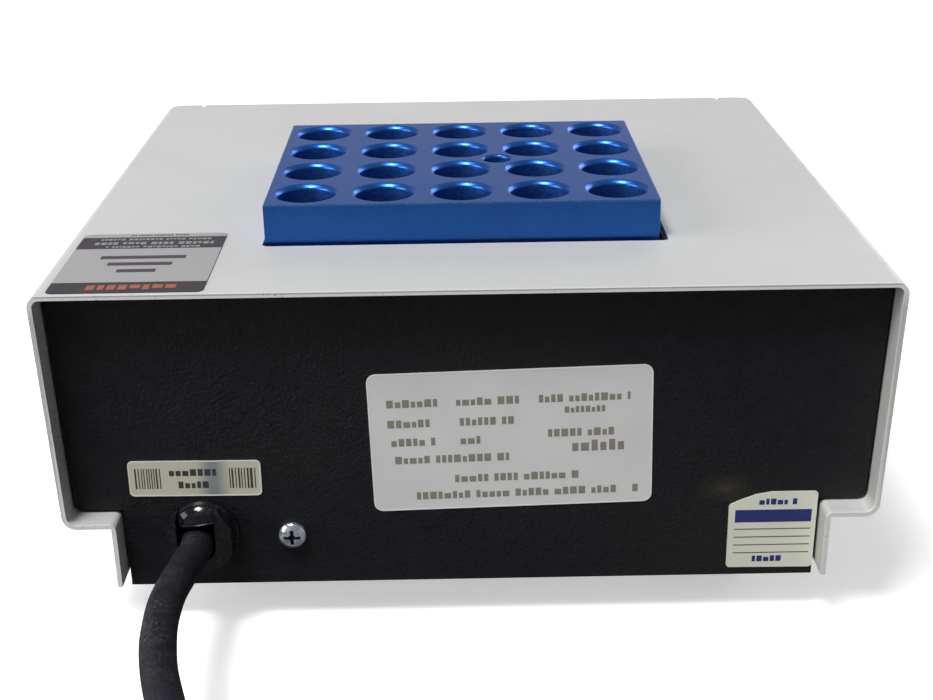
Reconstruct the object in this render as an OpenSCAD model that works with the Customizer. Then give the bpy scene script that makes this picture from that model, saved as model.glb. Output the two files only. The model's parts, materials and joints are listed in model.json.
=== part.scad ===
// Analogue dry block heater: a folded sheet cover over a black chassis pan, holding a heated
// well with a lift-out aluminium tube block. All sizes are in millimetres.
// Frame: origin on the bench, in the middle of the case's footprint. +Z is up. The sloped
// control face looks towards -Y, and the mains cord leaves the recessed rear panel towards +Y.

/* [Cover] */
// Width across the cover's two top edges
cover_width = 195.2; // [194:0.1:200]
// Rear edge to the fold where the top turns down into the control face
top_depth = 178; // [177:0.5:184]
// Rear edge to the front end of the two side shoulders
shoulder_depth = 176.8; // [175:0.1:176.9]
// Top face to the underside of the shoulders
shoulder_height = 59; // [57:0.5:62]
// Top face to the bottom edge of the lips below the shoulders
lip_height = 74.9; // [74:0.1:76]
// Side face to the outer face of the lip
shoulder_width = 12.5; // [12:0.1:14]
// How far each side face leans in over its height
side_lean = 1.27; // [0.5:0.01:2]
// Lean of the control face from vertical, in degrees
front_slope = 18; // [14:1:22]
// Thickness of the cover sheet
sheet = 1.1; // [1:0.05:1.3]
// Outside radius of the folds along the top edges
fold_radius = 2.8; // [2.4:0.1:3.4]
// Radius of the shoulders' two front corners, seen from above
corner_radius = 6; // [5:0.5:8]

/* [Chassis] */
// Depth from the cover's rear edge to the outer face of the rear panel
panel_recess = 6.2; // [5:0.1:8]
// Cover's top face to the underside of the chassis pan
pan_depth = 78.2; // [77.6:0.1:79]
// Thickness of the chassis sheet
pan_sheet = 1.2; // [1:0.1:1.4]
// Height of the rubber feet
foot_height = 10.7; // [9:0.1:12]

/* [Tube block] */
// Width of the block
block_width = 95.25; // [94.5:0.05:95.6]
// Depth of the block
block_depth = 76.2; // [75.6:0.1:76.8]
// Height of the block
block_height = 50.8; // [49:0.1:52]
// How far the block stands above the cover
block_rise = 9.8; // [8:0.1:11]
// Centre spacing of the tube wells
well_pitch = 19.05; // [18.6:0.01:19.1]
// Radius of a tube well
well_radius = 6.85; // [6.5:0.05:7.1]
// Depth of a tube well
well_depth = 44.5; // [40:0.5:45]
// Radius of the thermometer well
thermometer_radius = 3.4; // [3:0.05:3.6]

/* [Controls] */
// Sideways position of the temperature knob, seen from the front
knob_at = 44; // [42:1:46]
// Radius of the knob's skirt
knob_radius = 17; // [15:0.5:18]
// Sideways position of the power switch
power_at = -56; // [-58:1:-54]
// Sideways position of the high and low range switch
range_at = -28; // [-30:1:-26]
// Tilt of each rocker either side of level, in degrees
rocker_tilt = 10; // [8:1:11]

/* [Cord] */
// Radius of the cord's jacket
cord_radius = 3.75; // [3.5:0.05:3.8]

/* [Hidden] */
$fn = 48;
// Running clearance between a moving piece and its bearing
clearance = 0.05;
// Overshoot for cuts
cut = 1;
// Facets of a fold drawn as an arc
fold_steps = 8;

top_z = foot_height + pan_depth;
shoulder_z = top_z - shoulder_height;
lip_z = top_z - lip_height;
rear_y = (top_depth + lip_height * tan(front_slope)) / 2;
panel_y = rear_y - panel_recess;
lip_x = cover_width / 2 - shoulder_width;
lean = atan(side_lean / shoulder_height);
shoulder_fold = fold_radius + 0.5;
// Inside radius of the fold between each shoulder and its lip
lip_fold = 1.5;
fold_gap = 0.6;

// Folded front: a point of the control face, its middle, and the direction straight up it
front_top_y = rear_y - top_depth;
front_mid = [0, front_top_y - lip_height * tan(front_slope) / 2, top_z - lip_height / 2];
pan_x = lip_x - sheet - 0.7;
pan_top = foot_height + pan_sheet;
pan_front_y = front_y(foot_height) + (sheet + fold_gap) / cos(front_slope);

// Opening in the cover, and the heated well below it
opening = [97.9, 79.4];
opening_at = [0.3, rear_y - 31.4 - opening.y / 2];
block_at = [opening_at.x + 0.77, rear_y - 33 - block_depth / 2];
block_z = top_z + block_rise - block_height;
well_floor_z = block_z + block_height - well_depth;
liner_sheet = 0.8;
plate_height = 8;
plate_z = block_z - plate_height;
mat_height = 1.6;
backing_height = 1.6;
mat_z = plate_z - mat_height;
backing_z = mat_z - backing_height;
tray_z = pan_top + 13;
tray_sheet = 1;
tray_inside = [122, 103.4];
pad_z = tray_z + tray_sheet;
heater_screw_at = [38, 28];
cutoff_screw_at = 11;
standoff_at = [52, 43];
bulb_radius = 2.42;
bulb_bore = bulb_radius + 0.08;
bulb_x = 12;
bulb_z = plate_z + plate_height / 2;
bulb_length = 60;

// Controls, measured out from the control face
overlay_thickness = 0.4;
control_v = -4;
lamp_at = [8, 13];
shaft_radius = 3;
bushing_radius = 4.7;
bushing_end = 5;
knob_base = 1;
knob_height = 16;
switch_inside = [10.6, 16.4];
switch_outside = [12.9, 19.1];
pivot_w = 0.6;
rocker_radius = 7.85;
pin_radius = 1.2;

// Rear panel fittings, as [right, up] from the middle of the cover's top edge, seen from behind
relief_at = [-64.6, -63.4];
ground_at = [-43.2, -64.7];
relief_radius = 8.8;
relief_shank = 7.8;
relief_height = 5.6;
relief_body_width = 15;
relief_slot_width = 9;
// Middle of the slot and of the cord in it, from the middle of the strain relief
slot_offset = [-0.9, -1.1];
// Lower edge of the wedge at its +X end, and how much higher it is at the other end
wedge_low = 3.6;
wedge_rise = 0.9;
cord_z = top_z + relief_at.y + slot_offset.y;
cord_x = -relief_at.x - slot_offset.x;
// Cut end of the jacket inside the case, and the start of the three wires just past it
jacket_end_y = panel_y - 11;
wires_start_y = jacket_end_y - 0.3;

foot_at = [66, 70];
terminal_at = [73.5, 28];
terminal_size = [14, 30, 13];

// ---- shared shapes ----

// Points along an arc from one angle to another
function arc(centre, radius, from, to) =
  [for (k = [0:fold_steps]) let (a = from + (to - from) * k / fold_steps)
    centre + radius * [cos(a), sin(a)]];

function mirrored(points) = [for (k = [len(points) - 1:-1:0]) [-points[k].x, points[k].y]];

// Depth of the control face's outer side at a height
function front_y(z) = front_top_y - (top_z - z) * tan(front_slope);

// A point given across, up and out from the middle of the control face
function front_point(u, v, w) =
  front_mid + [u, v * sin(front_slope) - w * cos(front_slope),
               v * cos(front_slope) + w * sin(front_slope)];

// Catmull-Rom curve through the points given
function along(p, i, t) =
  let (n = len(p), a = p[max(i - 1, 0)], b = p[i], c = p[i + 1], d = p[min(i + 2, n - 1)])
  0.5 * (2 * b + (c - a) * t + (2 * a - 5 * b + 4 * c - d) * t * t
    + (3 * b - a - 3 * c + d) * t * t * t);
function curve(p, steps) =
  concat([for (i = [0:len(p) - 2]) for (k = [0:steps - 1]) along(p, i, k / steps)],
         [p[len(p) - 1]]);
function unit(v) = v / norm(v);

module on_front() {
  translate(front_mid) rotate([90 - front_slope, 0, 0]) children();
}

// Right, up and out from the middle of the top edge, seen from behind
module on_rear() {
  translate([0, panel_y, top_z]) rotate([90, 0, 180]) children();
}

module box(size, z0, at = [0, 0]) {
  translate([at.x - size.x / 2, at.y - size.y / 2, z0]) cube([size.x, size.y, size.z]);
}

module four(at) {
  for (x = [-1, 1], y = [-1, 1]) translate([x * at.x, y * at.y, 0]) children();
}

module rounded_plate(size, radius, height) {
  linear_extrude(height) {
    square([size.x - 2 * radius, size.y], center = true);
    square([size.x, size.y - 2 * radius], center = true);
    for (x = [-1, 1], y = [-1, 1])
      translate([x * (size.x / 2 - radius), y * (size.y / 2 - radius)]) circle(radius, $fn = 24);
  }
}

// Round tube of flat facets swept through a list of points
module tube(points, radius, sides = 10, steps = 5) {
  path = curve(points, steps);
  n = len(path);
  up = [0, 0, 1];
  rings = [for (i = [0:n - 1])
    let (t = unit(path[min(i + 1, n - 1)] - path[max(i - 1, 0)]),
         s = abs(t.z) > 0.95 ? unit(cross(t, [1, 0, 0])) : unit(cross(t, up)), r = cross(s, t))
    for (k = [0:sides - 1])
      path[i] + radius * (cos(360 * k / sides) * s + sin(360 * k / sides) * r)];
  sidewalls = [for (i = [0:n - 2], k = [0:sides - 1])
    let (a = i * sides + k, b = i * sides + (k + 1) % sides) [a, b, b + sides, a + sides]];
  first = [for (k = [sides - 1:-1:0]) k];
  last = [for (k = [0:sides - 1]) (n - 1) * sides + k];
  polyhedron(rings, concat(sidewalls, [first, last]), convexity = 10);
}

// Pan head screw with a cross recess, head up from z = 0 and shank down
module pan_screw(shank, length, head, height) {
  dome = height * 0.6;
  ball = (head * head + dome * dome) / (2 * dome);
  difference() {
    union() {
      translate([0, 0, -length]) cylinder(r = shank, h = length, $fn = 24);
      intersection() {
        cylinder(r = head, h = height, $fn = 32);
        translate([0, 0, height - ball]) sphere(r = ball);
      }
    }
    for (a = [0, 90]) rotate(a)
      translate([-head * 0.6, -head * 0.13, height * 0.4]) cube([head * 1.2, head * 0.26, height]);
    translate([0, 0, height * 0.4]) cylinder(r1 = head * 0.16, r2 = head * 0.4, h = height, $fn = 16);
  }
}

module hex_nut(across, height, bore) {
  difference() {
    cylinder(r = across / 2 / cos(30), h = height, $fn = 6);
    translate([0, 0, -cut]) cylinder(r = bore, h = height + 2 * cut, $fn = 24);
  }
}

// ---- case ----

// Section of the shoulders, moved in by a distance
function head_section(inset) =
  let (r1 = fold_radius - inset, r2 = shoulder_fold - inset,
       c1 = [cover_width / 2 - fold_radius * tan(lean) - fold_radius / cos(lean),
             top_z - fold_radius],
       c2 = [cover_width / 2 - (shoulder_height - shoulder_fold) * tan(lean)
             - shoulder_fold / cos(lean), shoulder_z + shoulder_fold],
       right = concat(arc(c1, r1, 90, -lean), arc(c2, r2, -lean, -90)))
  concat(right, mirrored(right));

// Side view of the narrower middle, moved in by a distance, ending at a given depth and height
function stem_side(inset, end_y, end_z) =
  let (r = fold_radius + 0.7,
       turn = 90 - front_slope,
       c = [front_top_y + r * tan(turn / 2), top_z - r],
       low = front_y(end_z) + inset / cos(front_slope))
  concat([[end_y, end_z], [end_y, top_z - inset]],
         arc(c, r - inset, 90, 90 + turn), [[low, end_z]]);

module section_along_y(points, from, to) {
  translate([0, to, 0]) rotate([90, 0, 0]) linear_extrude(to - from) polygon(points);
}

module side_along_x(points, half) {
  translate([-half, 0, 0]) rotate([90, 0, 90]) linear_extrude(2 * half) polygon(points);
}

module shoulders(inset, from, to) {
  r = corner_radius - inset;
  half = cover_width / 2 - inset;
  intersection() {
    section_along_y(head_section(inset), from, to);
    translate([0, 0, shoulder_z - cut]) linear_extrude(shoulder_height + 2 * cut) union() {
      translate([-half, from + r]) square([2 * half, to - from]);
      translate([-half + r, from]) square([2 * (half - r), r + cut]);
      for (x = [-1, 1]) translate([x * (half - r), from + r]) circle(r, $fn = 48);
    }
  }
}

// What a round fold leaves out of the square corner between a shoulder and its lip
module lip_fold_corner(side, from, to) {
  x = side * (lip_x - sheet);
  z = shoulder_z + sheet;
  section_along_y(concat([[x, z]],
    [for (k = [0:fold_steps]) let (a = 90 * k / fold_steps)
      [x + side * lip_fold * (1 - sin(a)), z + lip_fold * (cos(a) - 1)]]), from, to);
}

module cover() {
  shoulder_y = rear_y - shoulder_depth;
  color([0.8, 0.8, 0.8])
  difference() {
    union() {
      shoulders(0, shoulder_y, rear_y);
      side_along_x(stem_side(0, rear_y, lip_z), lip_x);
    }
    shoulders(sheet, shoulder_y + sheet, rear_y + cut);
    side_along_x(stem_side(sheet, rear_y + cut, lip_z - cut), lip_x - sheet);
    for (side = [-1, 1]) lip_fold_corner(side, shoulder_y + corner_radius, rear_y + cut);
    translate([opening_at.x, opening_at.y, top_z - sheet - cut])
      rounded_plate(opening, 1.5, sheet + 2 * cut);
    // bend relief slots where the shoulders end
    for (x = [-1, 1])
      translate([x * (lip_x + 0.4) - 0.6, shoulder_y - 4, top_z - 5]) cube([1.2, 6.5, 5 + cut]);
    front_cutouts(1.6 * sheet);
    cover_screw_axes() cylinder(r = 2.1, h = 8, center = true, $fn = 24);
  }
}

module cover_screw_axes() {
  for (x = [-1, 1], y = [-58, 60])
    translate([x * lip_x, y, lip_z + 6.6]) rotate([0, x * 90, 0]) children();
}

module front_cutouts(depth) {
  on_front() {
    for (u = [power_at, range_at])
      translate([u, control_v, -depth]) linear_extrude(depth + cut)
        square(switch_outside + [0.3, 0.3], center = true);
    translate([knob_at, control_v, -depth]) cylinder(r = bushing_radius + 0.15, h = depth + cut);
    translate([lamp_at.x, lamp_at.y, -depth]) cylinder(r = 4.6, h = depth + cut);
  }
}

module cover_screws() {
  color([0.75, 0.75, 0.76])
  cover_screw_axes() pan_screw(1.7, 7, 3, 2);
}

module chassis() {
  inset = sheet + fold_gap;
  flange_top = lip_z + 13;
  flange = inset / cos(front_slope);
  flange_in = (inset + pan_sheet) / cos(front_slope);
  color([0.1, 0.1, 0.1])
  difference() {
    union() {
      translate([-pan_x, pan_front_y, foot_height])
        cube([2 * pan_x, panel_y - pan_front_y, pan_sheet]);
      section_along_y(head_section(inset), panel_y - pan_sheet, panel_y);
      translate([-pan_x, panel_y - pan_sheet, foot_height])
        cube([2 * pan_x, pan_sheet, shoulder_z + 5 - foot_height]);
      for (x = [-1, 1])
        translate([x > 0 ? pan_x - pan_sheet : -pan_x, front_y(flange_top) + flange_in + 3, foot_height])
          cube([pan_sheet, panel_y - front_y(flange_top) - flange_in - 3, flange_top - foot_height]);
      side_along_x([[front_y(foot_height) + flange, foot_height],
                    [front_y(foot_height) + flange_in, foot_height],
                    [front_y(flange_top) + flange_in, flange_top],
                    [front_y(flange_top) + flange, flange_top]], pan_x);
    }
    cover_screw_axes() cylinder(r = 1.7 + clearance, h = 8, center = true, $fn = 24);
    four(foot_at) cylinder(r = 2.2, h = pan_top + cut, $fn = 24);
    translate(opening_at) four(standoff_at) cylinder(r = 1.7, h = pan_top + cut, $fn = 24);
    on_rear() {
      translate([relief_at.x, relief_at.y, -pan_sheet - cut]) cylinder(r = 7.9, h = pan_sheet + 2 * cut);
      translate([ground_at.x, ground_at.y, -pan_sheet - cut])
        cylinder(r = 2.1, h = pan_sheet + 2 * cut, $fn = 24);
    }
  }
}

module feet() {
  color([0.06, 0.06, 0.06])
  four(foot_at) rotate_extrude() polygon([[4.4, 0], [7.4, 0], [8, 0.6], [9, foot_height],
    [2.2, foot_height], [2.2, 5.2], [4.4, 5.2]]);
}

module foot_screws() {
  color([0.7, 0.7, 0.72])
  four(foot_at) translate([0, 0, 5.2]) rotate([180, 0, 0]) pan_screw(1.95, 12, 3.9, 2.6);
}

module foot_nuts() {
  color([0.7, 0.7, 0.72])
  four(foot_at) translate([0, 0, pan_top]) hex_nut(7, 3.2, 1.95 + clearance);
}

// ---- tube block and heater ----

module tube_block() {
  color([0.12, 0.3, 0.58])
  difference() {
    box([block_width, block_depth, block_height], block_z, block_at);
    translate([block_at.x, block_at.y, block_z]) {
      for (i = [-2:2], j = [-1.5:1:1.5])
        translate([i * well_pitch, j * well_pitch, 0]) drilled(well_radius, well_depth, 0.95);
      translate([-well_pitch / 2, 0, 0]) drilled(thermometer_radius, 38, 0.5);
    }
  }
}

// A well with a bevelled mouth, cut down from the block's top
module drilled(radius, depth, bevel) {
  translate([0, 0, block_height - depth]) cylinder(r = radius, h = depth + cut);
  translate([0, 0, block_height - bevel])
    cylinder(r1 = radius, r2 = radius + bevel + 0.1, h = bevel + 0.1);
}

module heater_plate() {
  color([0.75, 0.76, 0.78])
  difference() {
    box([96.5, 77.6, plate_height], plate_z, opening_at);
    translate([opening_at.x, opening_at.y, plate_z - cut]) four(heater_screw_at)
      cylinder(r = 2 + clearance, h = 6.5 + cut, $fn = 24);
    translate([bulb_x, opening_at.y - 77.6 / 2 - cut, bulb_z]) rotate([-90, 0, 0])
      cylinder(r = bulb_bore, h = bulb_length + 6 + cut, $fn = 32);
  }
}

module heater_mat() {
  color([0.75, 0.35, 0.12])
  difference() {
    box([90, 70, mat_height], mat_z, opening_at);
    translate([opening_at.x, opening_at.y, mat_z - cut]) {
      four(heater_screw_at) cylinder(r = 3, h = mat_height + 2 * cut, $fn = 24);
      for (x = [-1, 1]) translate([x * cutoff_screw_at, 0, 0])
        cylinder(r = 2.4, h = mat_height + 2 * cut, $fn = 24);
    }
  }
}

module heater_backing_plate() {
  color([0.62, 0.63, 0.65])
  difference() {
    box([94, 74, backing_height], backing_z, opening_at);
    translate([opening_at.x, opening_at.y, backing_z - cut]) {
      four(heater_screw_at) cylinder(r = 2.3, h = backing_height + 2 * cut, $fn = 24);
      for (x = [-1, 1]) translate([x * cutoff_screw_at, 0, 0])
        cylinder(r = 1.4 + clearance, h = backing_height + 2 * cut, $fn = 24);
    }
  }
}

module heater_screws() {
  color([0.7, 0.7, 0.72])
  translate([opening_at.x, opening_at.y, backing_z]) four(heater_screw_at)
    rotate([180, 0, 0]) pan_screw(2, 9, 3.5, 2.4);
}

module thermal_cutoff() {
  color([0.2, 0.2, 0.22])
  translate([opening_at.x, opening_at.y, backing_z]) difference() {
    union() {
      translate([0, 0, -6]) cylinder(r = 7.5, h = 6);
      box([30, 7, 0.8], -0.8);
      for (x = [-4, 4]) box([0.8, 4.8, 6.5], -12, [x, 0]);
    }
    for (x = [-1, 1]) translate([x * cutoff_screw_at, 0, -2])
      cylinder(r = 1.4 + clearance, h = 3, $fn = 24);
  }
}

module cutoff_screws() {
  color([0.7, 0.7, 0.72])
  translate([opening_at.x, opening_at.y, backing_z - 0.8])
    for (x = [-1, 1]) translate([x * cutoff_screw_at, 0, 0])
      rotate([180, 0, 0]) pan_screw(1.4, 3, 2.4, 1.6);
}

module insulation_pad() {
  depth = backing_z - pad_z;
  color([0.9, 0.88, 0.82])
  difference() {
    box([tray_inside.x, tray_inside.y, depth], pad_z, opening_at);
    translate([opening_at.x, opening_at.y, pad_z - cut]) {
      cylinder(r = 17, h = depth + 2 * cut);
      four(heater_screw_at) cylinder(r = 5, h = depth + 2 * cut, $fn = 24);
      four(standoff_at) cylinder(r = 3.6, h = 3 + cut, $fn = 24);
    }
  }
}

module block_well() {
  wall = [2 * liner_sheet, 2 * liner_sheet];
  top = top_z - sheet - 1.3;
  color([0.45, 0.46, 0.48])
  difference() {
    translate([opening_at.x, opening_at.y, backing_z]) rounded_plate(opening + wall, 2, top - backing_z);
    translate([opening_at.x, opening_at.y, backing_z - cut])
      rounded_plate(opening, 1.2, top - backing_z + 2 * cut);
    front_passages(3);
  }
}

// Ways through the front of the liner, collar and tray for the capillary and the heater's leads
module front_passages(radius) {
  for (x = [bulb_x, bulb_x - 40])
    translate([x, opening_at.y - 70, x == bulb_x ? bulb_z : mat_z + 0.4]) rotate([-90, 0, 0])
      cylinder(r = radius, h = 40, $fn = 24);
}

module insulation_collar() {
  height = top_z - sheet - 2.3 - backing_z;
  color([0.9, 0.88, 0.82])
  difference() {
    box([tray_inside.x, tray_inside.y, height], backing_z, opening_at);
    box([opening.x + 2 * liner_sheet + 0.2, opening.y + 2 * liner_sheet + 0.2, height + 2 * cut],
        backing_z - cut, opening_at);
    front_passages(3);
  }
}

module insulation_tray() {
  height = top_z - sheet - 1.8 - tray_z;
  color([0.66, 0.67, 0.68])
  difference() {
    box([tray_inside.x + 2 * tray_sheet, tray_inside.y + 2 * tray_sheet, height], tray_z, opening_at);
    box([tray_inside.x, tray_inside.y, height], pad_z, opening_at);
    translate([opening_at.x, opening_at.y, tray_z - cut]) {
      cylinder(r = 12, h = tray_sheet + 2 * cut);
      four(standoff_at) cylinder(r = 1.7, h = tray_sheet + 2 * cut, $fn = 24);
    }
    front_passages(3);
  }
}

module standoffs() {
  color([0.75, 0.76, 0.78])
  translate([opening_at.x, opening_at.y, pan_top]) four(standoff_at)
    hex_nut(6, tray_z - pan_top, 1.5 + clearance);
}

module standoff_screws() {
  color([0.7, 0.7, 0.72])
  translate([opening_at.x, opening_at.y, 0]) four(standoff_at) {
    translate([0, 0, foot_height]) rotate([180, 0, 0]) pan_screw(1.5, 6, 2.8, 1.9);
    translate([0, 0, pad_z]) pan_screw(1.5, 6, 2.8, 1.9);
  }
}

// ---- controls ----

module front_overlay() {
  color([0.08, 0.1, 0.16])
  difference() {
    on_front() translate([0, -1.5, 0]) rounded_plate([156, 58], 3, overlay_thickness);
    front_cutouts(1);
  }
}

module switch_body(u) {
  depth = 15;
  on_front() translate([u, control_v, 0]) difference() {
    union() {
      translate([0, 0, overlay_thickness]) rounded_plate([15, 21], 1, 2);
      translate([0, 0, -depth]) linear_extrude(depth + overlay_thickness)
        square(switch_outside, center = true);
    }
    translate([0, 0, pivot_w - 5.8]) linear_extrude(10) square(switch_inside, center = true);
    translate([0, 0, pivot_w]) rotate([0, 90, 0])
      cylinder(r = pin_radius + clearance, h = 12.2, center = true, $fn = 24);
  }
}

// Concave rocker on two stub pins, tilted with its upper end out
module rocker(u) {
  reach = 7.5;
  hollow = [for (k = [-4:4]) [k / 4 * reach, 2.2 + 1.4 * pow(k / 4, 2)]];
  outline = concat(hollow, arc([0, 0], rocker_radius, 12, -31), arc([0, 0], rocker_radius, 211, 168));
  translate(front_point(u, control_v, pivot_w)) rotate([90 - front_slope + rocker_tilt, 0, 0]) {
    translate([-5.1, 0, 0]) rotate([90, 0, 90]) linear_extrude(10.2) polygon(outline);
    rotate([0, 90, 0]) cylinder(r = pin_radius, h = 12, center = true, $fn = 24);
  }
}

module power_switch_body() {
  color([0.05, 0.05, 0.05]) switch_body(power_at);
}

module range_switch_body() {
  color([0.05, 0.05, 0.05]) switch_body(range_at);
}

module power_rocker() {
  color([0.7, 0.06, 0.05]) rocker(power_at);
}

module range_rocker() {
  color([0.07, 0.07, 0.07]) rocker(range_at);
}

module spade_terminals() {
  color([0.78, 0.7, 0.45])
  on_front() {
    for (u = [power_at, range_at], v = [-6, 0, 6])
      translate([u - 2.4, control_v + v - 0.4, -22]) cube([4.8, 0.8, 7]);
    for (u = [-8, 8])
      translate([knob_at + u - 3.1, control_v + 8, -sheet - 29]) cube([6.2, 0.8, 7]);
  }
}

module pilot_lamp_body() {
  color([0.7, 0.7, 0.72])
  on_front() translate([lamp_at.x, lamp_at.y, 0]) difference() {
    union() {
      translate([0, 0, overlay_thickness]) cylinder(r = 6.2, h = 1.5);
      translate([0, 0, -18]) cylinder(r = 4.5, h = 18 + overlay_thickness);
    }
    translate([0, 0, 0.2]) cylinder(r = 4.1, h = 4);
  }
}

module pilot_lamp_lens() {
  dome = 1.8;
  ball = (16 + dome * dome) / (2 * dome);
  color([0.9, 0.35, 0.05])
  on_front() translate([lamp_at.x, lamp_at.y, 0.25]) intersection() {
    cylinder(r = 4, h = 3 + dome);
    translate([0, 0, 3 + dome - ball]) sphere(r = ball);
  }
}

module pilot_lamp_clip() {
  color([0.6, 0.6, 0.62])
  on_front() translate([lamp_at.x, lamp_at.y, -sheet - 0.6]) difference() {
    cylinder(r = 7.2, h = 0.6);
    translate([0, 0, -cut]) cylinder(r = 4.5 + clearance, h = 0.6 + 2 * cut);
  }
}

module thermostat_body() {
  depth = 22;
  color([0.55, 0.5, 0.42])
  on_front() translate([knob_at, control_v, 0]) difference() {
    union() {
      translate([0, 0, -sheet - depth]) linear_extrude(depth) square([36, 32], center = true);
      translate([0, 0, -sheet]) cylinder(r = bushing_radius, h = sheet + bushing_end);
    }
    translate([0, 0, -10]) cylinder(r = shaft_radius + clearance, h = 20);
  }
}

module thermostat_nut() {
  color([0.75, 0.76, 0.78])
  on_front() translate([knob_at, control_v, overlay_thickness])
    hex_nut(13, 2.4, bushing_radius + clearance);
}

module control_shaft() {
  flat = 2.3;
  color([0.72, 0.73, 0.75])
  on_front() translate([knob_at, control_v, -9.5]) difference() {
    cylinder(r = shaft_radius, h = 23.5);
    translate([flat, -5, 23.5 - 8.5]) cube([5, 10, 10]);
  }
}

module control_knob() {
  grip = 11.5;
  flutes = 16;
  color([0.05, 0.05, 0.05])
  on_front() translate([knob_at, control_v, knob_base]) difference() {
    union() {
      rotate_extrude() polygon([[0, 0], [knob_radius, 0], [knob_radius, 1.2], [knob_radius - 0.8, 2.4],
        [grip + 1, 3.6], [grip + 0.4, 4.4], [grip - 0.6, knob_height - 1], [grip - 1.6, knob_height],
        [0, knob_height]]);
      // raised pointer, at its lowest mark at rest
      rotate(pointer_rest) translate([-0.9, 0, 2]) cube([1.8, knob_radius - 1.5, 1.6]);
    }
    for (k = [0:flutes - 1]) rotate(pointer_rest + 360 * (k + 0.5) / flutes)
      translate([0, grip + 0.9, 3.8]) cylinder(r = 1.5, h = knob_height, $fn = 24);
    translate([0, 0, -cut]) cylinder(r = 9, h = 4.6 + cut);
    cylinder(r = shaft_radius + 0.02, h = 13.2);
    set_screw_axis() cylinder(r = 1.5 + clearance, h = 14, $fn = 24);
  }
}

// Turn of the pointer from straight up the panel at the lowest setting
pointer_rest = 150;

module set_screw_axis() {
  translate([0, 0, 8.6]) rotate([0, 90, 0]) children();
}

module knob_set_screw() {
  color([0.3, 0.3, 0.32])
  on_front() translate([knob_at, control_v, knob_base]) set_screw_axis()
    translate([0, 0, 2.35]) difference() {
      cylinder(r = 1.5, h = 6.5, $fn = 24);
      translate([0, 0, 5]) cylinder(r = 0.85, h = 2, $fn = 6);
    }
}

module sensing_bulb() {
  color([0.72, 0.45, 0.3])
  translate([bulb_x, opening_at.y - 77.6 / 2 + 4, bulb_z]) rotate([-90, 0, 0])
    cylinder(r = bulb_radius, h = bulb_length, $fn = 32);
}

module capillary_tube() {
  from = front_point(knob_at, control_v - 10, -sheet - 22.5);
  bulb_y = opening_at.y - 77.6 / 2 + 4;
  color([0.72, 0.45, 0.3])
  tube([from, from + [-2, 8, 0], [32, -42, 30], [18, -36, 40], [bulb_x, -28, bulb_z],
        [bulb_x, -16, bulb_z], [bulb_x, bulb_y, bulb_z]], 0.9, 8, 4);
}

// ---- wiring ----

module terminal_block() {
  color([0.88, 0.87, 0.8])
  difference() {
    box(terminal_size, pan_top, terminal_at);
    for (y = [-9, 0, 9]) {
      translate([terminal_at.x, terminal_at.y + y, pan_top + 6]) rotate([0, 90, 0])
        cylinder(r = 1.9, h = 20, center = true, $fn = 24);
      translate([terminal_at.x, terminal_at.y + y, pan_top + 9]) cylinder(r = 2.2, h = 6, $fn = 24);
    }
  }
}

module live_wires() {
  at_switch = front_point(power_at, control_v - 6, -24);
  color([0.05, 0.05, 0.05]) {
    tube([[cord_x + 1.6, wires_start_y, cord_z - 1.2], [cord_x + 1.8, wires_start_y - 3, cord_z - 1.4],
          [68, 78, 21], [58, 66, 20.5], [30, 62, 17], [-20, 62, 17], [-66, 56, 17], [-72, 20, 17],
          [-70, -30, 18], [power_at - 2, at_switch.y + 12, at_switch.z - 2], at_switch], 1.1, 8, 4);
    tube([front_point(power_at, control_v, -23), front_point(power_at, control_v, -27),
          front_point(range_at + 8, control_v, -32), front_point(lamp_at.x - 4, control_v, -34),
          front_point(knob_at - 10, control_v + 9, -36),
          front_point(knob_at - 8, control_v + 9, -sheet - 30.4)], 1.1, 8, 4);
  }
}

module neutral_wires() {
  hole_y = terminal_at.y + 9;
  hole_z = pan_top + 6;
  color([0.85, 0.85, 0.83])
  tube([[cord_x + 1.6, wires_start_y, cord_z + 1.4], [cord_x + 2, wires_start_y - 3, cord_z + 1.4],
        [69, 77, 24.4], [68, 62, 22], [62, 46, 19], [60, hole_y + 2, hole_z], [62, hole_y, hole_z],
        [66, hole_y, hole_z], [71, hole_y, hole_z]], 1.1, 8, 4);
}

module ground_wire() {
  barrel = [-ground_at.x - 12, panel_y - pan_sheet - 2.6, top_z + ground_at.y];
  along_y = wires_start_y - 3.6;
  color([0.1, 0.45, 0.15])
  tube([[cord_x - 1.8, wires_start_y, cord_z], [cord_x - 2.2, wires_start_y - 2, cord_z - 1],
        [58, along_y, 19], [48, along_y, 17], [36, along_y + 1, 17], [27, barrel.y - 6, 19],
        [24, barrel.y - 1.7, 22.5], [26, barrel.y, barrel.z],
        [barrel.x - 2, barrel.y, barrel.z], [barrel.x + 3, barrel.y, barrel.z]], 1.1, 8, 4);
}

module heater_leads() {
  lead_x = bulb_x - 40;
  lead_z = mat_z + mat_height / 2;
  at_range = front_point(range_at, control_v + 6, -24);
  start_y = opening_at.y - 35;
  color([0.9, 0.88, 0.8])
  tube([[lead_x, start_y - 0.2, lead_z], [lead_x, start_y - 8, lead_z],
        [lead_x, -24, lead_z], [lead_x, -36, 42],
        [range_at, at_range.y + 8, at_range.z], at_range], 0.75, 8, 4);
}

module ground_screw() {
  color([0.78, 0.78, 0.8])
  on_rear() translate([ground_at.x, ground_at.y, 0]) pan_screw(1.95, 9, 3.3, 2.4);
}

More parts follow.
